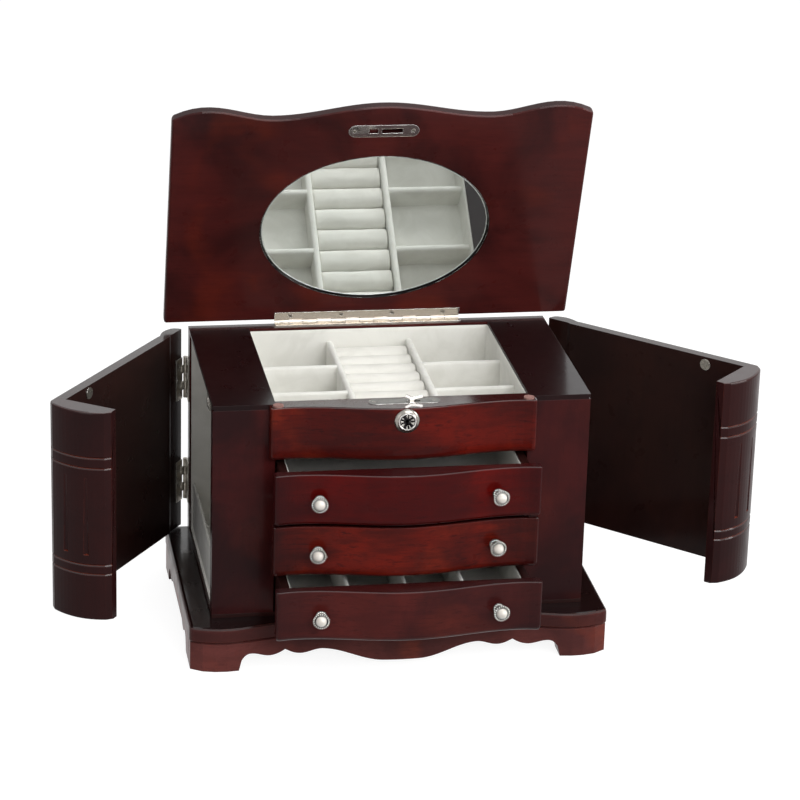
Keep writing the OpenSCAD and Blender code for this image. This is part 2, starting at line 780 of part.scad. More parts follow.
// Row of open hooks on a strip under the board over each compartment
module hook_row() {
    x = (wall_out + half_cab) / 2;
    y0 = stile_back + strip_inset;
    l = inner_back - strip_inset - y0;
    z = under_top - strip_t;
    translate([x - strip_w / 2, y0, z]) cube([strip_w, l, strip_t]);
    for (i = [0:hook_count - 1]) translate([x, y0 + l * (i + 0.5) / hook_count, z]) {
        translate([0, 0, -hook_drop]) cylinder(d = hook_wire, h = hook_drop, $fn = 16);
        translate([0, -hook_bend, -hook_drop]) rotate([0, 90, 0]) rotate([0, 0, -90])
            rotate_extrude(angle = 180, $fn = 32) translate([hook_bend, 0])
                circle(d = hook_wire, $fn = 16);
    }
}

module necklace_hooks() {
    color("silver") {
        hook_row();
        at_left() hook_row();
    }
}

// Magnets in small blocks under the boards, level with the cabinet's sides
module door_magnet() {
    color("#2a1012") translate([half_cab - block_w, block_y - block_l / 2, under_top - block_h])
        cube([block_w, block_l, block_h]);
    color("silver") translate([half_cab, block_y, under_top - block_h / 2]) rotate([0, 90, 0])
        cylinder(d = magnet_d, h = magnet_t, $fn = 48);
}

module door_magnets() {
    door_magnet();
    at_left() door_magnet();
}

// Lid stops and lock

module bumper_pads() {
    color("#8a6a62") for (s = [-1, 1])
        translate([s * pad_x, pad_y, rail_top]) cylinder(d = pad_d, h = pad_t, $fn = 48);
}

module lock_plate() {
    color("#c9c6bd") difference() {
        translate([0, -lock_y, plate_z]) rounded_bar(plate_l, plate_w, plate_t);
        translate([hook_x - 4.5, -lock_y - hook_t / 2 - 0.4, plate_z - 1])
            cube([9 + hook_throw, hook_t + 0.8, plate_t + 2]);
        for (s = [-1, 1]) translate([s * plate_screw_x, -lock_y, plate_seat])
            screw_hole();
    }
}

module lock_case() {
    color("#8c8878") difference() {
        translate([-case_l / 2, -lock_y - case_t / 2, case_top - case_h])
            cube([case_l, case_t, case_h]);
        translate([hook_x - 4.5, -lock_y - hook_t / 2 - 0.4, case_top - 10.2])
            cube([9 + hook_throw, hook_t + 0.8, 12]);
    }
}

module escutcheon() {
    color("#c9c6bd") translate([0, escutcheon_y, plug_z]) rotate([90, 0, 0]) rotate_extrude($fn = 64)
        polygon([[plug_d / 2 + pin_clear, 0], [escutcheon_d / 2, 0], [escutcheon_d / 2, 1.2],
            [escutcheon_d / 2 - 0.8, 2], [plug_d / 2 + 2, 2.6], [plug_d / 2 + 1.4, 3.2],
            [plug_d / 2 + 0.5, 3.4], [plug_d / 2 + pin_clear, 3]]);
}

module lock_plug() {
    y0 = -lock_y - case_t / 2 - 0.1;
    y1 = face_y - wave(0) - 1.6;
    color("#1c1a1a") translate([0, y0, plug_z]) rotate([90, 0, 0]) difference() {
        cylinder(d = plug_d, h = y0 - y1, $fn = 48);
        translate([0, 0, y0 - y1 - 1.2]) cylinder(d = plug_d - 3, h = 2, $fn = 6);
        translate([0, 0, y0 - y1 - 6]) cylinder(d = 2.6, h = 8, $fn = 24);
        translate([-0.6, -3, y0 - y1 - 6]) cube([1.2, 3, 8]);
    }
}

module hook_bolt() {
    stem_low = case_top - 10;
    stem_top = cab_top + 2.1;
    color("#e4e1d8") translate([0, -lock_y + hook_t / 2, 0]) rotate([90, 0, 0])
        linear_extrude(height = hook_t) union() {
            translate([hook_x - 3, stem_low]) square([6, case_top - 1 - stem_low]);
            translate([hook_x - 1.6, stem_low]) square([3.2, stem_top - stem_low]);
            translate([hook_x, stem_top]) rotate(-28) translate([-claw_left, -claw_h / 2])
                square([claw_left, claw_h]);
            translate([hook_x, stem_top]) rotate(12) translate([0, -claw_h / 2])
                square([claw_right, claw_h]);
            translate([hook_x, stem_top]) circle(r = 1.6, $fn = 32);
        }
}

// Lid hinge

module lid_knuckle_row(first, last_i) {
    step = lid_hinge_l / lid_knuckles;
    for (i = [first:2:last_i])
        translate([-lid_hinge_l / 2 + i * step + knuckle_gap / 2, lid_pin_y, lid_pin_z])
            rotate([0, 90, 0]) cylinder(r = lid_knuckle_r, h = step - knuckle_gap, $fn = 32);
}

module lid_leaf_tabs(first, last_i, z) {
    step = lid_hinge_l / lid_knuckles;
    y_far = lid_pin_y - lid_pin_r - 0.25;
    for (i = [first:2:last_i])
        translate([-lid_hinge_l / 2 + i * step + knuckle_gap / 2, back_y - 2, z])
            cube([step - knuckle_gap, y_far - back_y + 2, lid_leaf_t]);
}

module lid_leaf_plate(z, y1) {
    translate([-lid_hinge_l / 2, y1 - lid_leaf_w, z]) cube([lid_hinge_l, lid_leaf_w, lid_leaf_t]);
}

module lid_hinge_fixed_leaf() {
    color("#b9b6ab") {
        difference() {
            union() {
                lid_leaf_plate(cab_top, back_y);
                lid_leaf_tabs(0, lid_knuckles - 1, cab_top);
            }
            for (x = lid_screw_xs)
                translate([x, back_y - lid_leaf_w / 2, cab_top + leaf_seat]) screw_hole();
        }
        lid_knuckle_row(0, lid_knuckles - 1);
        translate([-lid_hinge_l / 2, lid_pin_y, lid_pin_z]) rotate([0, 90, 0])
            cylinder(r = lid_pin_r, h = lid_hinge_l, $fn = 32);
    }
}

module lid_hinge_moving_leaf() {
    color("#b9b6ab") lid_pose() difference() {
        union() {
            difference() {
                union() {
                    lid_leaf_plate(lid_z - lid_leaf_t, back_y);
                    lid_leaf_tabs(1, lid_knuckles - 2, lid_z - lid_leaf_t);
                }
                for (x = lid_screw_xs) translate([x, back_y - lid_leaf_w / 2, lid_z - leaf_seat])
                    mirror([0, 0, 1]) screw_hole();
            }
            lid_knuckle_row(1, lid_knuckles - 2);
        }
        translate([-lid_hinge_l, lid_pin_y, lid_pin_z]) rotate([0, 90, 0])
            cylinder(r = lid_pin_r + pin_clear, h = 2 * lid_hinge_l, $fn = 32);
    }
}

// Flat-headed screw pointing down, the underside of its head at z = 0
module screw() {
    cylinder(d = screw_head_d, h = screw_head_t, $fn = 24);
    translate([0, 0, -screw_l]) cylinder(d = screw_shank_d, h = screw_l, $fn = 24);
}

// Room for such a screw in a leaf, a plate and the wood below it
module screw_hole() {
    cylinder(d = screw_head_d + 0.1, h = 3, $fn = 24);
    translate([0, 0, -screw_l - 0.1]) cylinder(d = screw_shank_d + 0.1, h = screw_l + 0.2, $fn = 24);
}

module fixed_screws() {
    color("#b9b6ab") {
        for (x = lid_screw_xs) translate([x, back_y - lid_leaf_w / 2, cab_top + leaf_seat]) screw();
        for (s = [-1, 1]) translate([s * plate_screw_x, -lock_y, plate_seat]) screw();
    }
}

module lid_screws() {
    color("#b9b6ab") lid_pose() {
        for (x = lid_screw_xs)
            translate([x, back_y - lid_leaf_w / 2, lid_z - leaf_seat]) mirror([0, 0, 1]) screw();
        for (s = [-1, 1])
            translate([s * plate_screw_x, -lock_y, strike_seat]) mirror([0, 0, 1]) screw();
    }
}

// Lid

function oval(a, b, n = 96) = [for (i = [0:n - 1]) [a * cos(360 * i / n), b * sin(360 * i / n)]];

module strike_cut(range, w, z, h) {
    translate([range[0], -lock_y - w / 2, z]) cube([range[1] - range[0], w, h]);
}

module lid_panel() {
    z0 = lid_z;
    z1 = lid_z + lid_t;
    r = lid_round;
    yf = lid_front;
    yb = lid_back_y;
    section = concat(
        [for (a = [0:30:90]) [yb - r * (1 - cos(a)), z1 - r * (1 - sin(a)), 0, -1, -1]],
        [for (a = [0:30:90]) [yf + r * (1 - sin(a)), z1 - r * (1 - cos(a)), 1, 1, -1]],
        [[yf, z0 + 1, 1, 1, 1], [yf + 1, z0, 1, 1, 1], [yb, z0, 0, -1, 1]]);
    color("#5c2422") lid_pose() difference() {
        wave_panel(-lid_half, lid_half, section, r, 1);
        translate([0, mirror_mid, z0 - 1]) linear_extrude(height = mirror_sink + mirror_t + 1)
            polygon(oval(mirror_half_w, mirror_half_d));
        translate([0, -lock_y, z0 - 1]) rounded_bar(plate_l + 0.1, plate_w + 0.1,
            1 + plate_t - plate_proud);
        strike_cut([strike_slot[0], strike_slot[1] + hook_throw], slot_w, z0 - 1, 6.6);
        strike_cut(strike_hole, slot_w, z0 - 1, 3);
        for (x = lid_screw_xs)
            translate([x, back_y - lid_leaf_w / 2, lid_z - leaf_seat]) mirror([0, 0, 1]) screw_hole();
        for (s = [-1, 1])
            translate([s * plate_screw_x, -lock_y, strike_seat]) mirror([0, 0, 1]) screw_hole();
    }
}

module mirror_glass() {
    color("#dfe6e8") lid_pose() translate([0, mirror_mid, lid_z + mirror_sink])
        linear_extrude(height = mirror_t) polygon(oval(mirror_half_w - 0.1, mirror_half_d - 0.1));
}

module strike_plate() {
    color("#c9c6bd") lid_pose() difference() {
        translate([0, -lock_y, strike_z]) rounded_bar(plate_l, plate_w, plate_t);
        strike_cut(strike_slot, slot_w, strike_z - 1, 4);
        strike_cut(strike_hole, slot_w, strike_z - 1, 4);
        for (s = [-1, 1])
            translate([s * plate_screw_x, -lock_y, strike_seat]) mirror([0, 0, 1]) screw_hole();
    }
}

// Doors, drawn closed for the right-hand side and then swung open

module door_side() {
    x0 = half_cab + door_gap;
    x1 = x0 + door_t;
    translate([0, 0, door_z0]) linear_extrude(height = door_z1 - door_z0)
        polygon(concat([[x1, door_inner_y], [x1, door_back_y - post_l - post_pitch]],
            [for (s = [post_l:-post_pitch:0])
                [x1 - post_seam + (post_swell + post_seam) * sin(180 * min(s, post_l - seam_w) / post_l)
                    - draw_in(s, post_round), door_back_y - s]],
            [[x0 + post_step, door_back_y], [x0 + post_step, door_back_y - recess_l],
                [x0, door_back_y - recess_l - recess_ramp], [x0, door_inner_y]]));
}

function door_face(x) = let (u = (x - door_crest_x) / (door_front_w / 2))
    door_inner_y - door_edge_t - door_swell + (u < 0 ? door_swell : door_swell - 2) * u * u;

module door_front() {
    r = 1.5;
    h = door_z1 - door_z0;
    n = 14;
    x0 = door_free_x;
    zs = concat([[0, r], [0.3 * r, 0.3 * r], [r, 0]],
        [for (g = groove_zs) each [[g - groove_w / 2, 0], [g, groove_depth], [g + groove_w / 2, 0]]],
        [[h - r, 0], [h - 0.3 * r, 0.3 * r], [h, r]]);
    rounding = 2;
    difference() {
        loft([for (i = [0:n]) let (x = x0 + door_front_w * i / n, y = door_face(x),
                e = max(draw_in(x - x0, rounding), draw_in(x0 + door_front_w - x, rounding)))
            concat([[x, door_inner_y, door_z1]],
                [for (k = [len(zs) - 1:-1:0]) [x, y + zs[k][1] + e, door_z0 + zs[k][0]]],
                [[x, door_inner_y, door_z0]])]);
        for (s = [-1, 1])
            translate([door_crest_x + s * flute_x, door_face(door_crest_x + s * flute_x) - flute_out,
                door_z0 + groove_zs[1] + flute_clear])
                cylinder(r1 = flute_foot_r, r2 = flute_head_r,
                    h = groove_zs[2] - groove_zs[1] - 2 * flute_clear, $fn = 24);
    }
}

module door_hinge_zs() {
    for (z = [door_hinge_top, door_hinge_low]) translate([0, 0, base_z + z]) children();
}

module door_knuckle_row(first, last_i) {
    step = door_hinge_h / door_knuckles;
    for (i = [first:2:last_i])
        translate([door_pin_x, door_pin_y, -door_hinge_h / 2 + i * step + knuckle_gap / 2])
            cylinder(r = door_knuckle_r, h = step - knuckle_gap, $fn = 32);
}

module door_leaf(x, y_end, first, last_i) {
    step = door_hinge_h / door_knuckles;
    y_far = door_pin_y - door_pin_r - 0.2;
    translate([x, y_end - door_leaf_w, -door_hinge_h / 2])
        cube([door_leaf_t, door_leaf_w, door_hinge_h]);
    for (i = [first:2:last_i])
        translate([x, y_end - 2, -door_hinge_h / 2 + i * step + knuckle_gap / 2])
            cube([door_leaf_t, y_far - y_end + 2, step - knuckle_gap]);
}

module door_hinge_fixed() {
    door_hinge_zs() {
        door_leaf(half_cab, back_y, 0, door_knuckles - 1);
        door_knuckle_row(0, door_knuckles - 1);
        translate([door_pin_x, door_pin_y, -door_hinge_h / 2])
            cylinder(r = door_pin_r, h = door_hinge_h, $fn = 32);
    }
}

module door_hinge_fixed_leaves() {
    color("#a8a498") {
        door_hinge_fixed();
        at_left() door_hinge_fixed();
    }
}

module door_hinge_moving() {
    difference() {
        door_hinge_zs() {
            door_leaf(half_cab + door_gap + post_step - door_leaf_t, door_back_y, 1,
                door_knuckles - 2);
            door_knuckle_row(1, door_knuckles - 2);
        }
        translate([door_pin_x, door_pin_y, 0])
            cylinder(r = door_pin_r + pin_clear, h = 2 * cab_h, $fn = 32);
    }
}

module door_catch() {
    translate([half_cab + door_gap, block_y, under_top - block_h / 2])
        rotate([0, -90, 0]) cylinder(d = magnet_d + 1, h = catch_t, $fn = 48);
}

module door_right_side() { color("#3a1416") door_pose(1) door_side(); }
module door_right_front() { color("#5a2020") door_pose(1) door_front(); }
module door_right_hinge_leaves() { color("#a8a498") door_pose(1) door_hinge_moving(); }
module door_right_catch() { color("silver") door_pose(1) door_catch(); }
module door_left_side() { color("#3a1416") door_pose(-1) at_left() door_side(); }
module door_left_front() { color("#5a2020") door_pose(-1) at_left() door_front(); }
module door_left_hinge_leaves() { color("#a8a498") door_pose(-1) at_left() door_hinge_moving(); }
module door_left_catch() { color("silver") door_pose(-1) at_left() door_catch(); }

// Drawers, drawn closed and then pulled out

function drawer_z(i) = rail_top - front_h - i * pitch_z;

// Frame of a knob: its foot plate lies in a shallow seat, square to the face
module knob_frame(i, s) {
    translate([s * knob_x, face_y - wave(knob_x) + knob_seat, drawer_z(i) + front_h / 2])
        rotate([90, 0, -s * wave_slope(knob_x)]) children();
}

module drawer_front(i) {
    color("#6e1c1c") drawer_pose(i) difference() {
        wave_panel(-front_w / 2, front_w / 2,
            front_section(front_back_y, face_y, drawer_z(i), drawer_z(i) + front_h, nose_r, front_r),
            front_end_r);
        for (s = [-1, 1]) knob_frame(i, s) {
            cylinder(d = rosette_d + 0.1, h = 5, $fn = 48);
            translate([0, 0, -20]) cylinder(d = bolt_d + 0.1, h = 21, $fn = 24);
        }
    }
}

module drawer_box(i) {
    z0 = drawer_z(i) + box_rise;
    y1 = front_back_y + box_l;
    color("#3c1416") drawer_pose(i) difference() {
        translate([-box_half, front_back_y, z0]) cube([box_w, box_l, box_h]);
        translate([-box_half + box_t, front_back_y - 1, z0 + box_floor_t])
            cube([box_w - 2 * box_t, box_l - box_t + 1, box_h]);
    }
}

module drawer_lining(i) {
    z0 = drawer_z(i) + box_rise + box_floor_t;
    l = box_l - box_t;
    w = box_w - 2 * box_t;
    color("#dedcd2") drawer_pose(i) translate([-w / 2, front_back_y, z0]) difference() {
        cube([w, l, box_h - box_floor_t - lining_drop]);
        translate([lining_t, lining_t, lining_t])
            cube([w - 2 * lining_t, l - 2 * lining_t, box_h]);
    }
}

// One bead of a knob's ring, seen from the front, with its rounded end outwards
module bead() {
    r0 = pearl_d / 2;
    r1 = (bead_ring_d - bead_w) / 2;
    translate([r0, -bead_w / 2]) square([r1 - r0, bead_w]);
    translate([r1, 0]) circle(d = bead_w, $fn = 16);
}

module drawer_knobs(i) {
    ring_y = knob_l - pearl_d / 2 + knob_seat;
    cup_y = ring_y - pearl_d / 2 + 0.15;
    rim_r = pearl_d / 2 + bezel_w;
    neck_r = knob_neck_d / 2;
    color("#c9c6bd") drawer_pose(i) for (s = [-1, 1]) knob_frame(i, s) difference() {
        union() {
            rotate_extrude($fn = 48) polygon([[0, 0], [rosette_d / 2, 0], [rosette_d / 2, 1],
                [neck_r + 0.8, 1.8], [neck_r + 0.7, 2.4], [neck_r, 3.4], [neck_r + 0.1, cup_y - 1.6],
                [neck_r + 1.5, cup_y], [rim_r - 0.4, cup_y + 1.8], [rim_r, cup_y + 3],
                [rim_r, ring_y - 0.9], [0, ring_y - 0.9]]);
            translate([0, 0, ring_y - 1]) linear_extrude(height = 1.8) union() {
                circle(r = rim_r, $fn = 48);
                for (k = [0:bead_count - 1]) rotate(360 * k / bead_count) bead();
            }
            translate([0, 0, -7]) cylinder(d = bolt_d, h = 8, $fn = 24);
        }
        translate([0, 0, ring_y]) sphere(d = pearl_d + 0.02, $fn = 48);
    }
}

module drawer_pearls(i) {
    ring_y = knob_l - pearl_d / 2 + knob_seat;
    color("#efe9da") drawer_pose(i) for (s = [-1, 1]) knob_frame(i, s)
        translate([0, 0, ring_y]) sphere(d = pearl_d, $fn = 48);
}

module drawer_1_front() { drawer_front(1); }
module drawer_1_box() { drawer_box(1); }
module drawer_1_lining() { drawer_lining(1); }
module drawer_1_knobs() { drawer_knobs(1); }
module drawer_1_pearls() { drawer_pearls(1); }
module drawer_2_front() { drawer_front(2); }
module drawer_2_box() { drawer_box(2); }
module drawer_2_lining() { drawer_lining(2); }
module drawer_2_knobs() { drawer_knobs(2); }
module drawer_2_pearls() { drawer_pearls(2); }
module drawer_3_front() { drawer_front(3); }
module drawer_3_box() { drawer_box(3); }
module drawer_3_lining() { drawer_lining(3); }
module drawer_3_knobs() { drawer_knobs(3); }
module drawer_3_pearls() { drawer_pearls(3); }

module drawer_3_dividers() {
    w = box_w - 2 * box_t - 2 * lining_t;
    l = box_l - box_t - 2 * lining_t;
    z0 = drawer_z(3) + box_rise + box_floor_t + lining_t;
    color("#dedcd2") drawer_pose(3) for (k = [-1, 0, 1])
        translate([k * w / 4 - cell_wall_t / 2, front_back_y + lining_t, z0])
            cube([cell_wall_t, l, box_h - box_floor_t - lining_t - 3]);
}

base_slab();
base_apron();
base_rails();
bottom_board();
back_panel();
inner_wall_left();
inner_wall_right();
stile_left();
stile_right();
top_board_left();
top_board_right();
lock_rail();
drawer_shelves();
tray_floor();
tray_lining();
tray_dividers();
ring_rolls();
side_linings();
necklace_pocket_left();
necklace_pocket_right();
necklace_hooks();
door_magnets();
bumper_pads();
lock_plate();
lock_case();
escutcheon();
lock_plug();
hook_bolt();
lid_hinge_fixed_leaf();
fixed_screws();
door_hinge_fixed_leaves();
lid_panel();
mirror_glass();
strike_plate();
lid_hinge_moving_leaf();
lid_screws();
door_left_side();
door_left_front();
door_left_hinge_leaves();
door_left_catch();
door_right_side();
door_right_front();
door_right_hinge_leaves();
door_right_catch();
drawer_1_front();
drawer_1_box();
drawer_1_lining();
drawer_1_knobs();
drawer_1_pearls();
drawer_2_front();
drawer_2_box();
drawer_2_lining();
drawer_2_knobs();
drawer_2_pearls();
drawer_3_front();
drawer_3_box();
drawer_3_lining();
drawer_3_knobs();
drawer_3_pearls();
drawer_3_dividers();
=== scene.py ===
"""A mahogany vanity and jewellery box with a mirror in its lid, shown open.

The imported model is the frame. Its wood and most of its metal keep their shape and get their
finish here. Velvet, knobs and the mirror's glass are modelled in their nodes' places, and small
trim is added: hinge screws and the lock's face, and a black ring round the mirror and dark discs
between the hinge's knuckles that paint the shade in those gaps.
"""

import json
import math

import bmesh
import bpy
from mathutils import Matrix, Vector, noise


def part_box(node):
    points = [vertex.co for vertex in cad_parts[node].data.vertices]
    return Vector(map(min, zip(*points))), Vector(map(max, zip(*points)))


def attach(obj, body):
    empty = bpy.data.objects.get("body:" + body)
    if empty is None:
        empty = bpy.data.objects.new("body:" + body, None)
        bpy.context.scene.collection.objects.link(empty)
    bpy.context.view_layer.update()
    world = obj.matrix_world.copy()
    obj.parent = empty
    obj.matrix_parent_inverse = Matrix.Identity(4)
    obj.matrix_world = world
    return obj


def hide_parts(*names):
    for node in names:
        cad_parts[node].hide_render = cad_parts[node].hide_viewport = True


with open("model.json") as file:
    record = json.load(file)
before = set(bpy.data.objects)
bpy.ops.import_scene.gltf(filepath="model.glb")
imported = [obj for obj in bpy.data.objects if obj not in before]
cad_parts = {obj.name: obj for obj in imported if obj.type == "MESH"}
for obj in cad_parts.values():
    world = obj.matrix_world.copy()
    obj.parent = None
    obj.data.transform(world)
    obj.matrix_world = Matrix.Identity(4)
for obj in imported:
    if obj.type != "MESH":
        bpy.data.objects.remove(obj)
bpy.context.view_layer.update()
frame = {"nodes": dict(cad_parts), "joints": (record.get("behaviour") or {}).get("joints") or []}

MM = 0.001
NODES = frame["nodes"]
JOINTS = {joint["name"]: joint for joint in frame["joints"]}
SIDES = (("left", -1), ("right", 1))
DRAWERS = (1, 2, 3)


# Camera

CAMERA_TARGET = Vector((0.01247, -0.00347, 0.17665))
CAMERA_DISTANCE = 2.525
CAMERA_AZIMUTH = 9.87
CAMERA_ELEVATION = 20.662
CAMERA_ROLL = 1.599
LENS_MM = 144.6
SENSOR_MM = 36


def make_camera():
    """The photograph's view: from the left of the middle, looking down a little."""
    turn = (
        Matrix.Rotation(-math.radians(CAMERA_AZIMUTH), 4, "Z")
        @ Matrix.Rotation(math.radians(90 - CAMERA_ELEVATION), 4, "X")
        @ Matrix.Rotation(math.radians(CAMERA_ROLL), 4, "Z")
    )
    back = turn.to_3x3() @ Vector((0, 0, 1))
    data = bpy.data.cameras.new("camera")
    data.lens = LENS_MM
    data.sensor_width = SENSOR_MM
    camera = bpy.data.objects.new("camera", data)
    camera.matrix_world = Matrix.Translation(CAMERA_TARGET + back * CAMERA_DISTANCE) @ turn
    bpy.context.scene.collection.objects.link(camera)
    bpy.context.scene.camera = camera


make_camera()


# Shader nodes

def srgb(red, green, blue):
    """A colour given as a screen shows it, 0 to 255, as the linear colour that nodes take."""
    parts = [c / 255 for c in (red, green, blue)]
    linear = [p / 12.92 if p <= 0.04045 else ((p + 0.055) / 1.055) ** 2.4 for p in parts]
    return (*linear, 1.0)


def add(tree, kind, inputs=(), **settings):
    """A node with its settings and its inputs, each a value or another node's socket."""
    made = tree.nodes.new("ShaderNode" + kind)
    for key, value in settings.items():
        setattr(made, key, value)
    for key, value in dict(inputs).items():
        if isinstance(value, bpy.types.NodeSocket):
            tree.links.new(value, made.inputs[key])
        else:
            made.inputs[key].default_value = value
    return made


def mixed(tree, factor, first, second):
    """Two colours mixed by a factor; returns the colour socket."""
    return add(tree, "Mix", {0: factor, 6: first, 7: second}, data_type="RGBA").outputs[2]


def ramped(tree, value, low, high, out_low=0.0, out_high=1.0):
    """A value stretched smoothly from one range to another and clamped."""
    made = add(
        tree, "MapRange",
        {"Value": value, "From Min": low, "From Max": high, "To Min": out_low, "To Max": out_high},
        interpolation_type="SMOOTHSTEP",
    )
    return made.outputs[0]


def maths(tree, operation, *values):
    """A Math node; returns its value socket."""
    made = add(tree, "Math", dict(enumerate(values)), operation=operation)
    return made.outputs[0]


def noisy(tree, vector, scale, detail=3.0, roughness=0.5, distortion=0.0):
    """Smooth noise; returns its value socket."""
    made = add(
        tree, "TexNoise",
        {"Vector": vector, "Scale": scale, "Detail": detail, "Roughness": roughness,
         "Distortion": distortion},
    )
    return made.outputs["Fac"]


def effect(name, inputs, outputs):
    """An empty shader node group with named sockets: its tree, its inputs and its outputs."""
    tree = bpy.data.node_groups.new(name, "ShaderNodeTree")
    for label, kind, value in inputs:
        socket = tree.interface.new_socket(label, in_out="INPUT", socket_type="NodeSocket" + kind)
        socket.default_value = value
    for label, kind in outputs:
        tree.interface.new_socket(label, in_out="OUTPUT", socket_type="NodeSocket" + kind)
    ends = tree.nodes.new("NodeGroupInput"), tree.nodes.new("NodeGroupOutput")
    return tree, ends[0].outputs, ends[1].inputs


# The noise behind each pattern of the finishes; a greater scale is finer.
BLOTCHES = {"scale": 11, "detail": 4, "roughness": 0.55, "distortion": 0.6}
WARM_PATCHES = {"scale": 17, "detail": 3, "roughness": 0.5, "distortion": 0.3}
BROAD_BANDS = {"scale": 2.3, "detail": 3, "roughness": 0.6, "distortion": 0.4}
FINE_STREAKS = {"scale": 7.5, "detail": 4, "roughness": 0.65, "distortion": 0.2}
PORES = {"scale": 42, "detail": 2}
LACQUER_HAZE = {"scale": 60, "detail": 3}
RUBBED_SPOTS = {"scale": 90, "detail": 3}
BRUSHED_PILE = {"scale": 38, "detail": 4, "roughness": 0.55, "distortion": 0.8}
FIBRES = {"scale": 1500, "detail": 2, "roughness": 0.6}
SMEARS = {"scale": 190, "detail": 4, "roughness": 0.6, "distortion": 1.2}
SPECKS = {"scale": 2400, "detail": 2}

FILLED_PORE = (0.012, 0.004, 0.004, 1)
# Where the painted shade towards a front's two ends starts and where it is full.
END_SHADE_FROM, END_SHADE_TO = 50 * MM, 110 * MM
UPRIGHT_POLISH = 0.04
UNDERSIDE_POLISH = 0.3
# The colour of the painted shade in metal crevices.
CREVICE_SHADE_COLOUR = (0.012, 0.011, 0.01, 1)
BRIGHT_EDGE = (0.95, 0.94, 0.92, 1)


def mahogany_grain():
    """Mahogany under dark lacquer: blotches, warm patches, streaks and pores along the grain."""
    tree, given, out = effect(
        "mahogany_grain",
        (("Place", "Vector", (0, 0, 0)), ("Along", "Vector", (0, 0, 0)),
         ("Light", "Color", (0.3, 0.05, 0.04, 1)), ("Dark", "Color", (0.1, 0.02, 0.02, 1)),
         ("Warm", "Color", (0.4, 0.1, 0.05, 1)), ("Mottle", "Float", 0.5),
         ("Warmth", "Float", 0.2), ("Streaks", "Float", 0.3)),
        (("Color", "Color"), ("Roughness", "Float"), ("Height", "Float")),
    )
    place, along = given["Place"], given["Along"]
    blotch = ramped(tree, noisy(tree, place, **BLOTCHES), 0.36, 0.64)
    amount = maths(tree, "MULTIPLY", blotch, given["Mottle"])
    body = mixed(tree, amount, given["Light"], given["Dark"])
    patch = ramped(tree, noisy(tree, place, **WARM_PATCHES), 0.52, 0.72)
    body = mixed(tree, maths(tree, "MULTIPLY", patch, given["Warmth"]), body, given["Warm"])
    band = ramped(tree, noisy(tree, along, **BROAD_BANDS), 0.42, 0.66)
    streak = ramped(tree, noisy(tree, along, **FINE_STREAKS), 0.5, 0.74)
    pore = ramped(tree, noisy(tree, along, **PORES), 0.6, 0.72)
    grain = maths(tree, "MAXIMUM", maths(tree, "MULTIPLY", band, 0.6), streak)
    body = mixed(tree, maths(tree, "MULTIPLY", grain, given["Streaks"]), body, given["Dark"])
    fine = maths(tree, "MULTIPLY", pore, maths(tree, "MULTIPLY", given["Streaks"], 0.7))
    tree.links.new(mixed(tree, fine, body, FILLED_PORE), out["Color"])
    haze = ramped(tree, noisy(tree, place, **LACQUER_HAZE), 0.3, 0.7, 0.27, 0.36)
    tree.links.new(haze, out["Roughness"])
    sunk = maths(tree, "MULTIPLY", pore, -0.6)
    sunk = maths(tree, "SUBTRACT", sunk, maths(tree, "MULTIPLY", streak, 0.3))
    tree.links.new(sunk, out["Height"])
    return tree


def painted_shade_tone():
    """Painted shade: the colour goes darker on level faces and towards a front's two ends."""
    tree, given, out = effect(
        "painted_shade_tone",
        (("Place", "Vector", (0, 0, 0)), ("Body", "Color", (0.3, 0.05, 0.04, 1)),
         ("Dark", "Color", (0.1, 0.02, 0.02, 1)), ("Level", "Float", 0.8), ("Ends", "Float", 0.0)),
        (("Color", "Color"),),
    )
    facing = add(tree, "TexCoord").outputs["Normal"]
    upward = ramped(tree, add(tree, "SeparateXYZ", {"Vector": facing}).outputs["Z"], 0.35, 0.95)
    amount = maths(tree, "MULTIPLY", upward, given["Level"])
    body = mixed(tree, amount, given["Body"], given["Dark"])
    across = add(tree, "SeparateXYZ", {"Vector": given["Place"]}).outputs["X"]
    end_shade_mask = ramped(tree, maths(tree, "ABSOLUTE", across), END_SHADE_FROM, END_SHADE_TO)
    body = mixed(tree, maths(tree, "MULTIPLY", end_shade_mask, given["Ends"]), body, given["Dark"])
    tree.links.new(body, out["Color"])
    return tree


def worn_grooves():
    """Where narrow grooves lie, whose lacquer is worn and dull."""
    tree, given, out = effect(
        "worn_grooves", (("Wear", "Float", 0.9),), (("Groove", "Float"),)
    )
    sky = add(tree, "AmbientOcclusion", {"Distance": 1.6 * MM}, samples=6, only_local=True)
    tree.links.new(ramped(tree, sky.outputs["AO"], 0.4, 0.8, given["Wear"], 0), out["Groove"])
    return tree


def lacquer_coat():
    """How polished a face is: level faces and edges most, undersides less, upright faces least."""
    tree, given, out = effect(
        "lacquer_coat",
        (("Rounded", "Vector", (0, 0, 0)), ("Polish", "Float", 0.7), ("Groove", "Float", 0.0)),
        (("Coat", "Float"),),
    )
    turned = add(tree, "VectorTransform", {"Vector": given["Rounded"]}, vector_type="NORMAL",
                 convert_from="WORLD", convert_to="OBJECT")
    lean = add(tree, "SeparateXYZ", {"Vector": turned.outputs[0]}).outputs["Z"]
    level = maths(tree, "MAXIMUM", lean, maths(tree, "MULTIPLY", lean, -UNDERSIDE_POLISH))
    coat = ramped(tree, level, 0.25, 0.8, UPRIGHT_POLISH, given["Polish"])
    coat = maths(tree, "MULTIPLY", coat, maths(tree, "SUBTRACT", 1, given["Groove"]))
    tree.links.new(coat, out["Coat"])
    return tree


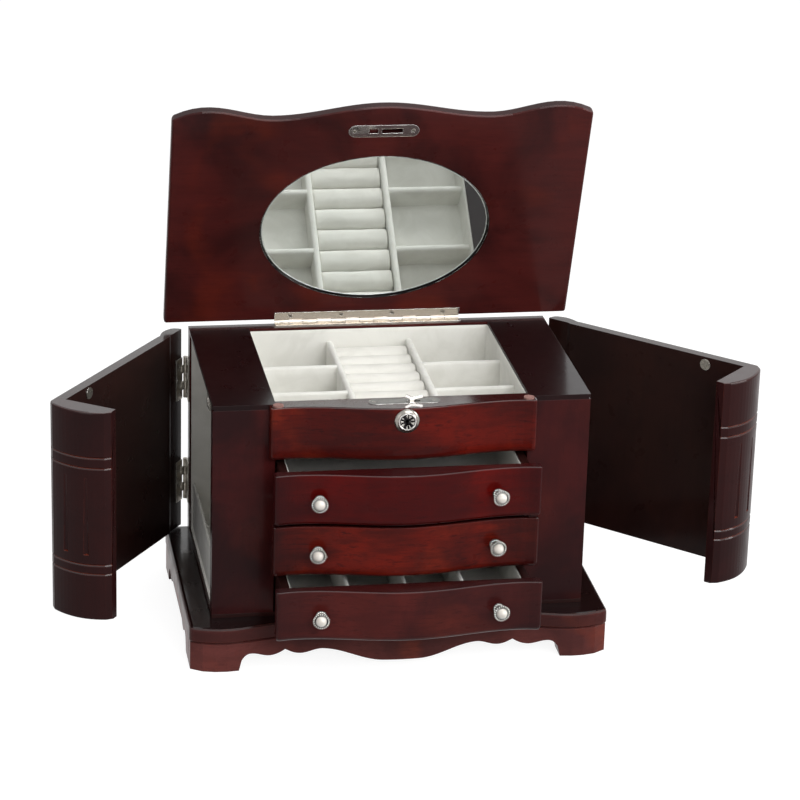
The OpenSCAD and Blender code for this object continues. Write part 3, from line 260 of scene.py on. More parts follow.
def rubbed_edges():
    """How close a point lies to an outer edge, and the normal that rounds that edge over."""
    tree, given, out = effect(
        "rubbed_edges",
        (("Place", "Vector", (0, 0, 0)), ("Radius", "Float", 0.0008)),
        (("Edge", "Float"), ("Normal", "Vector")),
    )
    rounded = add(tree, "Bevel", {"Radius": given["Radius"]}, samples=4)
    plain = add(tree, "NewGeometry")
    turned = add(
        tree, "VectorMath", {0: rounded.outputs[0], 1: plain.outputs["Normal"]},
        operation="DOT_PRODUCT",
    )
    edge = ramped(tree, maths(tree, "SUBTRACT", 1, turned.outputs["Value"]), 0.01, 0.12)
    rub = ramped(tree, noisy(tree, given["Place"], **RUBBED_SPOTS), 0.35, 0.6)
    tree.links.new(maths(tree, "MULTIPLY", edge, rub), out["Edge"])
    tree.links.new(rounded.outputs[0], out["Normal"])
    return tree


def velvet_pile():
    """Short pile: brushed patches that shade a little, and fine fibres."""
    tree, given, out = effect(
        "velvet_pile",
        (("Place", "Vector", (0, 0, 0)), ("Light", "Color", (0.8, 0.8, 0.7, 1)),
         ("Shade", "Color", (0.6, 0.6, 0.5, 1)), ("Brushed", "Float", 0.5)),
        (("Color", "Color"), ("Height", "Float")),
    )
    brushed = ramped(tree, noisy(tree, given["Place"], **BRUSHED_PILE), 0.4, 0.66)
    fibre = noisy(tree, given["Place"], **FIBRES)
    amount = maths(tree, "MULTIPLY", brushed, given["Brushed"])
    colour = mixed(tree, amount, given["Light"], given["Shade"])
    colour = mixed(tree, ramped(tree, fibre, 0.55, 0.75, 0, 0.22), colour, given["Shade"])
    tree.links.new(colour, out["Color"])
    tree.links.new(maths(tree, "ADD", fibre, maths(tree, "MULTIPLY", brushed, 0.5)), out["Height"])
    return tree


def plated_metal():
    """Plated metal: faint smears, painted shade in crevices where it is hard to reach, and edges
    worn bright.
    """
    tree, given, out = effect(
        "plated_metal",
        (("Place", "Vector", (0, 0, 0)), ("Bright", "Color", (0.8, 0.8, 0.8, 1)),
         ("Dull", "Color", (0.5, 0.5, 0.5, 1)), ("Smear", "Float", 0.5),
         ("Gloss", "Float", 0.15), ("Crevice_shade", "Float", 0.5), ("Edge", "Float", 0.0)),
        (("Color", "Color"), ("Roughness", "Float"), ("Height", "Float")),
    )
    smear = ramped(tree, noisy(tree, given["Place"], **SMEARS), 0.42, 0.68)
    speck = noisy(tree, given["Place"], **SPECKS)
    amount = maths(tree, "MULTIPLY", smear, given["Smear"])
    plate = mixed(tree, amount, given["Bright"], given["Dull"])
    # Painted shade: ambient occlusion darkens the colour in crevices.
    open_sky = add(tree, "AmbientOcclusion", {"Distance": 1.2 * MM}, samples=6).outputs["AO"]
    crevice = maths(tree, "MULTIPLY", ramped(tree, open_sky, 0.3, 0.85, 1, 0), given["Crevice_shade"])
    shine = maths(tree, "MULTIPLY", given["Edge"], 0.8)
    plate = mixed(tree, shine, mixed(tree, crevice, plate, CREVICE_SHADE_COLOUR), BRIGHT_EDGE)
    tree.links.new(plate, out["Color"])
    tree.links.new(
        maths(tree, "ADD", given["Gloss"], maths(tree, "MULTIPLY", amount, 0.25)), out["Roughness"]
    )
    tree.links.new(speck, out["Height"])
    return tree


GRAIN = mahogany_grain()
PAINTED_SHADE_TONE = painted_shade_tone()
GROOVES = worn_grooves()
COAT = lacquer_coat()
EDGES = rubbed_edges()
PILE = velvet_pile()
PLATE = plated_metal()


def new_material(name):
    """A node material: its tree, its shader and the object's own coordinates."""
    material = bpy.data.materials.new(name)
    material.use_nodes = True
    tree = material.node_tree
    place = add(tree, "TexCoord").outputs["Object"]
    return material, tree, tree.nodes["Principled BSDF"], place


def use(tree, group, inputs):
    """A shader node group placed in a material."""
    return add(tree, "Group", inputs, node_tree=group).outputs


def set_plain(shader, **values):
    """Values that are the same all over, on the shader's own sockets."""
    for key, value in values.items():
        shader.inputs[key.replace("_", " ")].default_value = value


def bumped(tree, shader, height, strength, distance, normal=None):
    """Feeds a height into the shader's normal."""
    inputs = {"Height": height, "Strength": strength, "Distance": distance}
    if normal is not None:
        inputs["Normal"] = normal
    tree.links.new(add(tree, "Bump", inputs).outputs[0], shader.inputs["Normal"])


ALONG_X = (7, 62, 62)
ALONG_Y = (62, 7, 62)
ALONG_Z = (62, 62, 7)
METAL_EDGE = 0.35 * MM


def wood(name, light, dark, warm, along=ALONG_X, mottle=0.6, warmth=0.25, streaks=0.45,
         rubbed=0.2, edge=0.6 * MM, polish=0.7, level_shade=0.8, end_shade=0.0, worn=0.0):
    """Lacquered mahogany with its grain along one axis, its edges rubbed, and painted shade on its
    level faces and towards its ends.
    """
    material, tree, shader, place = new_material(name)
    stretched = add(tree, "Mapping", {"Vector": place, "Scale": along}, vector_type="POINT")
    grain = use(tree, GRAIN, {
        "Place": place, "Along": stretched.outputs[0], "Light": srgb(*light), "Dark": srgb(*dark),
        "Warm": srgb(*warm), "Mottle": mottle, "Warmth": warmth, "Streaks": streaks})
    # Painted shade: darker colour on level faces and towards the two ends.
    body = use(tree, PAINTED_SHADE_TONE, {
        "Place": place, "Body": grain["Color"], "Dark": srgb(*dark), "Level": level_shade,
        "Ends": end_shade})["Color"]
    edges = use(tree, EDGES, {"Place": place, "Radius": edge})
    rub = maths(tree, "MULTIPLY", edges["Edge"], rubbed)
    coat = {"Rounded": edges["Normal"], "Polish": polish}
    if worn:
        coat["Groove"] = use(tree, GROOVES, {"Wear": worn})["Groove"]
        rub = maths(tree, "MAXIMUM", rub, coat["Groove"])
    tree.links.new(mixed(tree, rub, body, srgb(*warm)), shader.inputs["Base Color"])
    tree.links.new(grain["Roughness"], shader.inputs["Roughness"])
    tree.links.new(use(tree, COAT, coat)["Coat"], shader.inputs["Coat Weight"])
    bumped(tree, shader, grain["Height"], 0.12, 0.05 * MM, edges["Normal"])
    set_plain(shader, Specular_IOR_Level=0.06, Coat_Roughness=0.13, Coat_IOR=1.7)
    return material


def velvet(name, light, shade, brushed=0.5):
    """Ivory lining cloth with a short pile."""
    material, tree, shader, place = new_material(name)
    pile = use(tree, PILE, {
        "Place": place, "Light": srgb(*light), "Shade": srgb(*shade), "Brushed": brushed})
    tree.links.new(pile["Color"], shader.inputs["Base Color"])
    bumped(tree, shader, pile["Height"], 0.35, 0.12 * MM)
    set_plain(shader, Roughness=0.95, Specular_IOR_Level=0.15, Sheen_Weight=0.2,
              Sheen_Roughness=0.6)
    return material


def metal(name, bright, dull, gloss=0.12, smear=0.4, crevice_shade=0.8):
    """Plated steel or die-cast metal."""
    material, tree, shader, place = new_material(name)
    edges = use(tree, EDGES, {"Place": place, "Radius": METAL_EDGE})
    plate = use(tree, PLATE, {
        "Place": place, "Bright": srgb(*bright), "Dull": srgb(*dull), "Smear": smear,
        "Gloss": gloss, "Crevice_shade": crevice_shade, "Edge": edges["Edge"]})
    tree.links.new(plate["Color"], shader.inputs["Base Color"])
    tree.links.new(plate["Roughness"], shader.inputs["Roughness"])
    bumped(tree, shader, plate["Height"], 0.05, 0.02 * MM, edges["Normal"])
    set_plain(shader, Metallic=1.0)
    return material


def mirror_silver():
    """Silvered glass: almost a perfect mirror, a little green."""
    material, tree, shader, place = new_material("mirror_silver")
    tint = ramped(tree, noisy(tree, place, scale=14, detail=2), 0.3, 0.7)
    tree.links.new(
        mixed(tree, tint, srgb(236, 240, 238), srgb(230, 235, 233)), shader.inputs["Base Color"]
    )
    set_plain(shader, Metallic=1.0, Roughness=0.012)
    return material


def pearl_shell():
    """A cream imitation pearl with a soft play of tints under a clear coat."""
    material, tree, shader, place = new_material("pearl_shell")
    cloud = ramped(tree, noisy(tree, place, scale=240, distortion=0.8), 0.35, 0.65)
    tree.links.new(
        mixed(tree, cloud, srgb(224, 219, 210), srgb(204, 197, 187)), shader.inputs["Base Color"]
    )
    tree.links.new(ramped(tree, cloud, 0, 1, 0.2, 0.32), shader.inputs["Roughness"])
    set_plain(shader, Coat_Weight=1.0, Coat_Roughness=0.05, Sheen_Weight=0.2)
    return material


def felt_pad():
    """A brownish pink rubbery pad."""
    material, tree, shader, place = new_material("felt_pad")
    fleck = ramped(tree, noisy(tree, place, scale=900), 0.4, 0.62)
    tree.links.new(
        mixed(tree, fleck, srgb(150, 112, 104), srgb(122, 86, 80)), shader.inputs["Base Color"]
    )
    bumped(tree, shader, fleck, 0.4, 0.1 * MM)
    set_plain(shader, Roughness=0.8)
    return material


def black_steel():
    """Blackened, polished steel with fine wear."""
    material, tree, shader, place = new_material("black_steel")
    worn = ramped(tree, noisy(tree, place, scale=700, detail=4), 0.6, 0.72)
    tree.links.new(
        mixed(tree, worn, srgb(26, 24, 26), srgb(120, 116, 112)), shader.inputs["Base Color"]
    )
    tree.links.new(ramped(tree, worn, 0, 1, 0.16, 0.34), shader.inputs["Roughness"])
    set_plain(shader, Metallic=0.9)
    return material


# level_shade and end_shade set how much shade is painted into each wood's colour.
RAIL_WOOD = wood("rail_mahogany", (100, 21, 12), (34, 8, 9), (150, 48, 22),
                 mottle=0.6, warmth=0.55, streaks=0.8, polish=1.0, end_shade=0.4)
UPPER_FRONT_WOOD = wood("upper_front_mahogany", (86, 7, 5), (36, 6, 8), (112, 22, 12),
                        mottle=0.6, warmth=0.3, streaks=0.5, polish=1.0, end_shade=0.8)
MIDDLE_FRONT_WOOD = wood("middle_front_mahogany", (106, 24, 13), (30, 8, 9), (140, 42, 20),
                         mottle=0.6, warmth=0.5, streaks=0.8, polish=1.0, end_shade=0.8)
LOWER_FRONT_WOOD = wood("lower_front_mahogany", (80, 29, 26), (36, 14, 16), (100, 38, 26),
                        mottle=0.7, warmth=0.3, streaks=0.5, polish=1.0, end_shade=0.7)
LID_WOOD = wood("lid_mahogany", (74, 27, 25), (36, 14, 15), (112, 37, 18),
                mottle=0.75, warmth=0.3, streaks=0.35, rubbed=0.05, polish=0.3)
DOOR_WOOD = wood("door_mahogany", (42, 14, 14), (26, 9, 10), (140, 58, 36),
                 along=ALONG_Z, mottle=0.6, warmth=0.0, streaks=0.3, rubbed=0.35, level_shade=0.0,
                 worn=0.9)
STILE_WOOD = wood("stile_mahogany", (62, 19, 19), (32, 10, 12), (84, 30, 24),
                  along=ALONG_Z, mottle=0.9, warmth=0.3, streaks=0.3)
PLINTH_WOOD = wood("plinth_mahogany", (106, 55, 51), (56, 28, 28), (150, 62, 34),
                   mottle=0.7, warmth=0.35, streaks=0.4, rubbed=0.35, polish=0.2)
SLAB_WOOD = wood("slab_mahogany", (78, 37, 35), (26, 12, 12), (160, 72, 38),
                 mottle=0.4, warmth=0.1, streaks=0.3, rubbed=0.4, edge=0.9 * MM, polish=0.6,
                 level_shade=1.0, worn=0.9)
PANEL_WOOD = wood("panel_mahogany", (38, 19, 16), (24, 12, 12), (58, 30, 24),
                  along=ALONG_Z, mottle=0.6, warmth=0.1, streaks=0.3, level_shade=0.0)
TOP_WOOD = wood("top_mahogany", (32, 14, 15), (20, 10, 11), (60, 28, 22),
                along=ALONG_Y, mottle=0.6, warmth=0.03, streaks=0.3, polish=0.5)
INNER_WOOD = wood("inner_mahogany", (46, 22, 20), (30, 15, 14), (66, 36, 30),
                  along=ALONG_Y, mottle=0.6, warmth=0.1, streaks=0.4, level_shade=0.0)
BACK_WOOD = wood("back_mahogany", (70, 26, 24), (40, 15, 15), (98, 42, 30),
                 mottle=0.7, warmth=0.2, streaks=0.35)
IVORY = velvet("ivory_velvet", (219, 218, 212), (198, 197, 189), 0.4)
# Painted light: the same ivory velvet, made brighter for the side compartments.
LIT_BAY_IVORY = velvet("side_ivory_velvet_lit", (238, 236, 230), (216, 214, 206), 0.4)
IVORY_ROLL = velvet("ivory_roll_velvet", (222, 220, 213), (206, 204, 196), 0.45)
NICKEL = metal("polished_nickel", (248, 246, 241), (214, 210, 202), 0.1, 0.3)
PLATE_NICKEL = metal("mirror_polished_nickel", (196, 192, 190), (168, 164, 160), 0.05, 0.1)
HINGE_NICKEL = metal("hinge_nickel", (202, 196, 187), (168, 160, 148), 0.12, 0.3, 1.0)
LOCK_NICKEL = metal("lock_nickel", (128, 124, 121), (96, 93, 90), 0.08, 0.3, 0.6)
SATIN_NICKEL = metal("satin_nickel", (176, 172, 165), (124, 120, 113), 0.24, 0.5)
SCREW_NICKEL = metal("screw_nickel", (150, 145, 136), (62, 58, 53), 0.16, 0.9, 1.0)
ESCUTCHEON_NICKEL = metal("escutcheon_nickel", (146, 142, 136), (112, 108, 102), 0.2, 0.4, 0.3)
DULL_NICKEL = metal("dull_nickel", (168, 162, 152), (116, 110, 101), 0.3, 0.6)
FROSTED = metal("frosted_glass_edge", (226, 232, 232), (176, 184, 186), 0.3, 0.6, 0.0)
MIRROR = mirror_silver()
PEARL = pearl_shell()
PAD = felt_pad()
BLACK = black_steel()
# Oxide on the knobs' cores; on the hinge it paints the shade between the knuckles.
OXIDE_AND_GAP_SHADE = metal("oxidised_nickel_and_gap_shade", (24, 23, 22), (14, 13, 13), 0.45, 0.7)
# Black for the ring that paints the shade round the mirror.
SHADE_RING_BLACK = metal("mirror_shade_ring_black", (24, 22, 22), (15, 14, 14), 0.2, 0.5, 0.0)

FINISHES = (
    (RAIL_WOOD, "mahogany", ["lock_rail"]),
    (UPPER_FRONT_WOOD, "mahogany", ["drawer_1_front"]),
    (MIDDLE_FRONT_WOOD, "mahogany", ["drawer_2_front"]),
    (LOWER_FRONT_WOOD, "mahogany", ["drawer_3_front"]),
    (LID_WOOD, "mahogany", ["lid_panel"]),
    (DOOR_WOOD, "mahogany", ["door_left_front", "door_right_front"]),
    (STILE_WOOD, "dark_mahogany", ["stile_left", "stile_right"]),
    (SLAB_WOOD, "plinth_mahogany", ["base_slab"]),
    (PLINTH_WOOD, "plinth_mahogany", ["base_apron", "base_rails"]),
    (PANEL_WOOD, "dark_mahogany", ["door_left_side", "door_right_side"]),
    (TOP_WOOD, "dark_mahogany", ["top_board_left", "top_board_right"]),
    (BACK_WOOD, "mahogany", ["back_panel"]),
    (INNER_WOOD, "dark_mahogany",
     ["bottom_board", "inner_wall_left", "inner_wall_right", "drawer_shelves", "tray_floor"]
     + [f"drawer_{i}_box" for i in DRAWERS]),
    (NICKEL, "polished_nickel", ["hook_bolt", "necklace_hooks"]),
    (SCREW_NICKEL, "dull_nickel", ["fixed_screws", "lid_screws"]),
    (ESCUTCHEON_NICKEL, "polished_nickel", ["escutcheon"]),
    (PLATE_NICKEL, "polished_nickel", ["strike_plate"]),
    (LOCK_NICKEL, "polished_nickel", ["lock_plate"]),
    (HINGE_NICKEL, "dull_nickel", ["lid_hinge_fixed_leaf", "lid_hinge_moving_leaf"]),
    (SATIN_NICKEL, "polished_nickel",
     ["door_magnets", "door_left_catch", "door_right_catch"]),
    (DULL_NICKEL, "dull_nickel",
     ["door_hinge_fixed_leaves", "door_left_hinge_leaves", "door_right_hinge_leaves",
      "lock_case"]),
    (BLACK, "keyway_black", ["lock_plug"]),
    (PAD, "pad", ["bumper_pads"]),
)


def finish_nodes():
    """Gives every node that keeps its shape its finish."""
    for material, slot_name, names in FINISHES:
        for name in names:
            piece = NODES[name]
            piece.data.materials.clear()
            piece.data.materials.append(material)


finish_nodes()


# Making pieces

SMOOTH_ANGLE = math.radians(38)


def piece_from(name, shapes, material, body, replaced=(), sharp=SMOOTH_ANGLE):
    """One piece from lists of (points, faces), closed, shaded, and riding on its body."""
    mesh = bpy.data.meshes.new(name)
    points, faces = [], []
    for shape_points, shape_faces in shapes:
        start = len(points)
        points += [tuple(p) for p in shape_points]
        faces += [[start + i for i in face] for face in shape_faces]
    mesh.from_pydata(points, [], faces)
    work = bmesh.new()
    work.from_mesh(mesh)
    bmesh.ops.recalc_face_normals(work, faces=work.faces)
    work.to_mesh(mesh)
    work.free()
    mesh.shade_smooth()
    mesh.set_sharp_from_angle(angle=sharp)
    mesh.materials.append(material)
    made = bpy.data.objects.new(name, mesh)
    bpy.context.scene.collection.objects.link(made)
    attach(made, body)
    if replaced:
        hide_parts(*replaced)
    return made


def skin(rings, capped=True):
    """A skin over rings of equal length that follow one another."""
    count = len(rings[0])
    points = [p for ring in rings for p in ring]
    faces = [
        (k * count + i, k * count + (i + 1) % count, (k + 1) * count + (i + 1) % count,
         (k + 1) * count + i)
        for k in range(len(rings) - 1) for i in range(count)
    ]
    if capped:
        faces.append(tuple(range(count - 1, -1, -1)))
        faces.append(tuple((len(rings) - 1) * count + i for i in range(count)))
    return points, faces


def round_turn(count):
    """Angles evenly round a full turn."""
    return [2 * math.pi * i / count for i in range(count)]


def lathe(profile, turns):
    """A profile of (radius, height) turned about Z; a radius of 0 is a tip."""
    points, rows = [], []
    for radius, height in profile:
        if radius < 1e-7:
            rows.append([len(points)])
            points.append((0, 0, height))
            continue
        rows.append([len(points) + i for i in range(turns)])
        points += [(radius * math.cos(t), radius * math.sin(t), height) for t in round_turn(turns)]
    faces = []
    for low, high in zip(rows, rows[1:]):
        for i in range(turns):
            j = (i + 1) % turns
            if len(low) == 1 and len(high) > 1:
                faces.append((low[0], high[j], high[i]))
            elif len(high) == 1 and len(low) > 1:
                faces.append((low[i], low[j], high[0]))
            elif len(low) > 1:
                faces.append((low[i], low[j], high[j], high[i]))
    return points, faces


def ball(radius, turns, rows):
    """A round bead."""
    profile = [
        (radius * math.sin(math.pi * k / rows), -radius * math.cos(math.pi * k / rows))
        for k in range(rows + 1)
    ]
    profile[0] = (0, -radius)
    profile[-1] = (0, radius)
    return lathe(profile, turns)


def moved(shape, matrix):
    """A shape put in place by a matrix."""
    points, faces = shape
    return [tuple(matrix @ Vector(p)) for p in points], faces


def unevenness(point, per_metre, amount, seed):
    """A small smooth offset that depends on the place alone."""
    return amount * noise.noise(Vector(point) * per_metre + Vector((seed, seed * 2, seed * 3)))


def joint_turn(joint_name):
    """The matrix that carries a hinged piece from closed to how it stands at rest."""
    joint = JOINTS[joint_name]
    pivot = Vector(joint["pos_m"])
    turn = Matrix.Rotation(-math.radians(joint["range_deg"][0]), 4, Vector(joint["axis"]))
    return Matrix.Translation(pivot) @ turn @ Matrix.Translation(-pivot)


# Velvet linings

LINING_WALL = 1.0 * MM
CORNER_ROUND = 1.6 * MM
CORNER_POINTS = 5
SIDE_POINTS = 22
LINING_EDGE = 0.3 * MM
WALL_ROWS = 9
FLOOR_ROWS = 10
NEAR_MIDDLE = 0.96
LOOSE_CLOTH = 0.5 * MM


def rounded_ring(u0, u1, v0, v1, radius):
    """Points round a rectangle with rounded corners, as (u, v) pairs."""
    ring = []
    corners = ((u1, v0, -90), (u1, v1, 0), (u0, v1, 90), (u0, v0, 180))
    for k, (u, v, start) in enumerate(corners):
        cu = u - radius if u == u1 else u + radius
        cv = v - radius if v == v1 else v + radius
        for i in range(CORNER_POINTS):
            angle = math.radians(start + 90 * i / (CORNER_POINTS - 1))
            ring.append((cu + radius * math.cos(angle), cv + radius * math.sin(angle)))
        following = corners[(k + 1) % 4]
        nu = following[0] - radius if following[0] == u1 else following[0] + radius
        nv = following[1] - radius if following[1] == v1 else following[1] + radius
        after = math.radians(start + 90)
        end = (cu + radius * math.cos(after), cv + radius * math.sin(after))
        to = (nu + radius * math.cos(after), nv + radius * math.sin(after))
        for i in range(1, SIDE_POINTS):
            share = i / SIDE_POINTS
            ring.append((end[0] + (to[0] - end[0]) * share, end[1] + (to[1] - end[1]) * share))
    return ring


def lining_shape(u_span, v_span, w_span, place, seed):
    """A lined card tray: flat outside, and inside soft corners and cloth that isn't quite flat."""
    (u0, u1), (v0, v1), (w0, w1) = u_span, v_span, w_span
    wall, soft = LINING_WALL, CORNER_ROUND
    half = min(u1 - u0, v1 - v0) / 2
    middle = half * NEAR_MIDDLE
    floor = w0 + wall
    profile = [(middle, w0), (LINING_EDGE, w0), (0, w0 + LINING_EDGE), (0, w1 - 0.35 * MM),
               (LINING_EDGE, w1), (wall * 0.7, w1), (wall, w1 - 0.4 * MM)]
    outside = len(profile)
    profile += [(wall, w1 + (floor + soft - w1) * k / WALL_ROWS) for k in range(1, WALL_ROWS + 1)]
    for degrees in (30, 60, 90):
        angle = math.radians(degrees)
        profile.append((wall + soft * (1 - math.cos(angle)), floor + soft * (1 - math.sin(angle))))
    run = middle - wall - soft
    profile += [(wall + soft + run * k / FLOOR_ROWS, floor) for k in range(1, FLOOR_ROWS + 1)]
    rings = []
    for k, (inset, w) in enumerate(profile):
        radius = max(min(soft * 1.2, half - inset) * 0.9, 0.02 * MM)
        ring = []
        for u, v in rounded_ring(u0 + inset, u1 - inset, v0 + inset, v1 - inset, radius):
            lift = 0.0
            if k >= outside and w <= floor + soft:
                lift = abs(unevenness((u, v, seed), 45, LOOSE_CLOTH, seed))
            ring.append(place(u, v, w + lift))
        rings.append(ring)
    return skin(rings)


def upright(u, v, w):
    """Puts a lining in the frame as it is drawn, open at the top."""
    return Vector((u, v, w))


def box_spans(name):
    """A node's extent along X, Y and Z."""
    low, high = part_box(name)
    return [(low[axis], high[axis]) for axis in range(3)]


def make_linings():
    """The tray's, the drawers' and the side compartments' linings."""
    x, y, z = box_spans("tray_lining")
    made = piece_from("velvet_tray_lining", [lining_shape(x, y, z, upright, 1.0)], IVORY,
                      "cabinet", ["tray_lining"])
    for i in DRAWERS:
        x, y, z = box_spans(f"drawer_{i}_lining")
        made = piece_from(f"velvet_drawer_{i}_lining", [lining_shape(x, y, z, upright, 2.0 + i)],
                          IVORY, f"drawer_{i}", [f"drawer_{i}_lining"])
    (_, outer), y, z = box_spans("side_linings")
    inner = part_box("inner_wall_right")[1][0]
    for side, sign in SIDES:
        def sideways(u, v, w, sign=sign):
            return Vector((sign * w, u, v))

        made = piece_from(f"velvet_{side}_compartment_lining",
                          [lining_shape(y, z, (inner, outer), sideways, 7.0 + sign)], LIT_BAY_IVORY,
                          "cabinet", ["side_linings"])


# Dividers

SWELL = 0.22 * MM
DIVIDER_STEP = 4 * MM


def board_shape(start, end, low, high, thick, seed):
    """A velvet-covered divider along a line, with a rounded upper edge."""
    start, end = Vector(start), Vector(end)
    along = (end - start).normalized()
    across = Vector((-along.y, along.x, 0))
    half = thick / 2
    steps = max(6, round((end - start).length / DIVIDER_STEP))
    rise = [low + (high - low) * share for share in (0, 0.35, 0.7)]
    outline = [(-half, z) for z in rise]
    for degrees in (0, 25, 50, 70, 90, 110, 130, 155, 180):
        angle = math.radians(degrees)
        outline.append((-half * math.cos(angle), high - half * 0.75 * (1 - math.sin(angle))))
    outline += [(half, z) for z in reversed(rise)]
    rings = []
    for k in range(steps + 1):
        spot = start.lerp(end, k / steps)
        ring = []
        for s, z in outline:
            p = Vector((spot.x, spot.y, z)) + across * s
            swell = unevenness(p, 70, SWELL, seed)
            out = math.copysign(abs(swell), s) if abs(s) > half * 0.5 else 0
            up = swell * 0.6 if z > high - half else 0
            ring.append(p + across * out + Vector((0, 0, up)))
        rings.append(ring)
    return skin(rings)


TRAY_DIVIDER_T = 5.0 * MM
CELL_WALL_T = 3.0 * MM
ROLL_ZONE = 59.4 * MM


def make_dividers():
    """The tray's dividers, and those of the lowest drawer."""
    (x0, x1), (y0, y1), (z0, z1) = box_spans("tray_dividers")
    long_x = (ROLL_ZONE + TRAY_DIVIDER_T) / 2
    shapes = []
    for k, sign in enumerate((-1, 1)):
        shapes.append(board_shape((sign * long_x, y0, 0), (sign * long_x, y1, 0), z0, z1,
                                  TRAY_DIVIDER_T, 20 + k))
        inner = sign * (long_x + TRAY_DIVIDER_T / 2 - 0.4 * MM)
        outer = x1 if sign > 0 else x0
        for n, y in enumerate(cross_places()):
            shapes.append(board_shape((inner, y, 0), (outer, y, 0), z0, z1 - 0.15 * MM,
                                      TRAY_DIVIDER_T, 30 + 2 * k + n))
    made = piece_from("velvet_tray_dividers", shapes, IVORY, "cabinet",
                      ["tray_dividers"])
    (x0, x1), (y0, y1), (z0, z1) = box_spans("drawer_3_dividers")
    middle = (x0 + x1) / 2
    reach = (x1 - x0 - CELL_WALL_T) / 2
    shapes = [
        board_shape((middle + k * reach, y0, 0), (middle + k * reach, y1, 0), z0, z1, CELL_WALL_T,
                    40 + k) for k in (-1, 0, 1)
    ]
    made = piece_from("velvet_drawer_dividers", shapes, IVORY, "drawer_3",
                      ["drawer_3_dividers"])


def cross_places():
    """Where the tray's cross dividers lie along Y, read from the frame's own vertices."""
    mesh = NODES["tray_dividers"].data
    inner = ROLL_ZONE / 2 + TRAY_DIVIDER_T + 2 * MM
    low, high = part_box("tray_dividers")
    found = sorted({round(v.co.y, 5) for v in mesh.vertices if abs(v.co.x) > inner})
    edges = [y for y in found if low.y + MM < y < high.y - MM]
    return [(edges[i] + edges[i + 1]) / 2 for i in range(0, len(edges) - 1, 2)]


# Ring rolls

ROLL_COUNT = 8
ROLL_STEPS = 34
ROLL_AROUND = 36
ROLL_FOLD = 2.6 * MM
END_RINGS = (0.82, 0.6, 0.36, 0.14)
UNSTUFFED = 0.94
ROLL_FULLNESS = 2.5
ROLL_SHARP = math.radians(70)
STUFFING_PRESSURE = 4.0
STUFFING_FRAMES = 20
SPARE_CLOTH = -0.05
SWELL_CAP = 1.3 * MM


def roll_shape(centre, half_length, half_width, half_height, seed):
    """A roll's cover before it is stuffed: fuller than an ellipse, drawn in at its two ends."""
    spots = [(-half_length, share) for share in END_RINGS[::-1]]
    for k in range(ROLL_STEPS + 1):
        share = -1 + 2 * k / ROLL_STEPS
        spots.append((half_length * math.copysign(abs(share) ** 0.75, share), 1.0))
    spots += [(half_length, share) for share in END_RINGS]
    rings = []
    for x, size in spots:
        left = max(half_length - abs(x), 0)
        gone = max(ROLL_FOLD - left, 0)
        drawn = ROLL_FOLD - math.sqrt(ROLL_FOLD ** 2 - gone ** 2)
        ring = []
        for angle in round_turn(ROLL_AROUND):
            c, s = math.cos(angle), math.sin(angle)
            full = (abs(c) ** ROLL_FULLNESS + abs(s) ** ROLL_FULLNESS) ** (-1 / ROLL_FULLNESS)
            bulge = 1 + unevenness((x, c * 0.01, s * 0.01), 60, 0.03, seed)
            ring.append(centre + Vector((
                x, (half_width - drawn) * full * c * bulge * size,
                (half_height - drawn) * full * s * bulge * size)))
        rings.append(ring)
    return skin(rings)


def stuff(rolls, limits):
    """Swells the covers with cloth simulation, each within its cap and its own space."""
    scene = bpy.context.scene
    for roll in rolls:
        seam = roll.vertex_groups.new(name="seam")
        ends = len(END_RINGS) * ROLL_AROUND
        count = len(roll.data.vertices)
        seam.add(list(range(ends)) + list(range(count - ends, count)), 1.0, "ADD")
        cloth = roll.modifiers.new("stuffing", "CLOTH")
        cloth.settings.quality = 6
        cloth.settings.mass = 0.02
        cloth.settings.use_pressure = True
        cloth.settings.uniform_pressure_force = STUFFING_PRESSURE
        cloth.settings.shrink_min = SPARE_CLOTH
        cloth.settings.vertex_group_mass = "seam"
        cloth.settings.effector_weights.gravity = 0
        cloth.point_cache.frame_start = 1
        cloth.point_cache.frame_end = STUFFING_FRAMES
    for frame_number in range(1, STUFFING_FRAMES + 1):
        scene.frame_set(frame_number)
    graph = bpy.context.evaluated_depsgraph_get()
    swollen = [[v.co.copy() for v in roll.evaluated_get(graph).data.vertices] for roll in rolls]
    for roll, spots, (low, high) in zip(rolls, swollen, limits):
        roll.modifiers.clear()
        roll.vertex_groups.clear()
        for vertex, spot in zip(roll.data.vertices, spots):
            step = spot - vertex.co
            if step.length > SWELL_CAP:
                step *= SWELL_CAP / step.length
            held = vertex.co + step
            vertex.co = [min(max(held[i], low[i]), high[i]) for i in range(3)]
        roll.modifiers.new("smooth", "SUBSURF").levels = 1
        roll.modifiers["smooth"].render_levels = 1
    scene.frame_set(1)


def make_rolls():
    """Eight padded ring rolls side by side."""
    (x0, x1), (y0, y1), (z0, z1) = box_spans("ring_rolls")
    height = z1 - z0
    pitch = (y1 - y0 - height) / (ROLL_COUNT - 1)
    rolls, limits = [], []
    for i in range(ROLL_COUNT):
        y = y0 + height / 2 + pitch * i
        centre = Vector(((x0 + x1) / 2, y, (z0 + z1) / 2))
        shape = roll_shape(centre, (x1 - x0) / 2, pitch / 2 * UNSTUFFED, height / 2 * UNSTUFFED,
                           60 + i)
        made = piece_from(f"ring_roll_{i + 1}", [shape], IVORY_ROLL, "cabinet",
                          ["ring_rolls"], sharp=ROLL_SHARP)
        rolls.append(made)
        limits.append(((x0, y - pitch / 2, z0), (x1, y + pitch / 2, z1)))
    stuff(rolls, limits)


# Necklace pockets

HEM_H = 4.0 * MM
HEM_HALF_T = 1.1 * MM
CLOTH_T = 0.6 * MM
CLEAR_OUTSIDE = 0.6 * MM
CLEAR_INSIDE = 0.9 * MM
GATHER_REACH = 0.85
POCKET_COLUMNS = 150
POCKET_ROWS = 16
HEM_SAG = 0.7 * MM


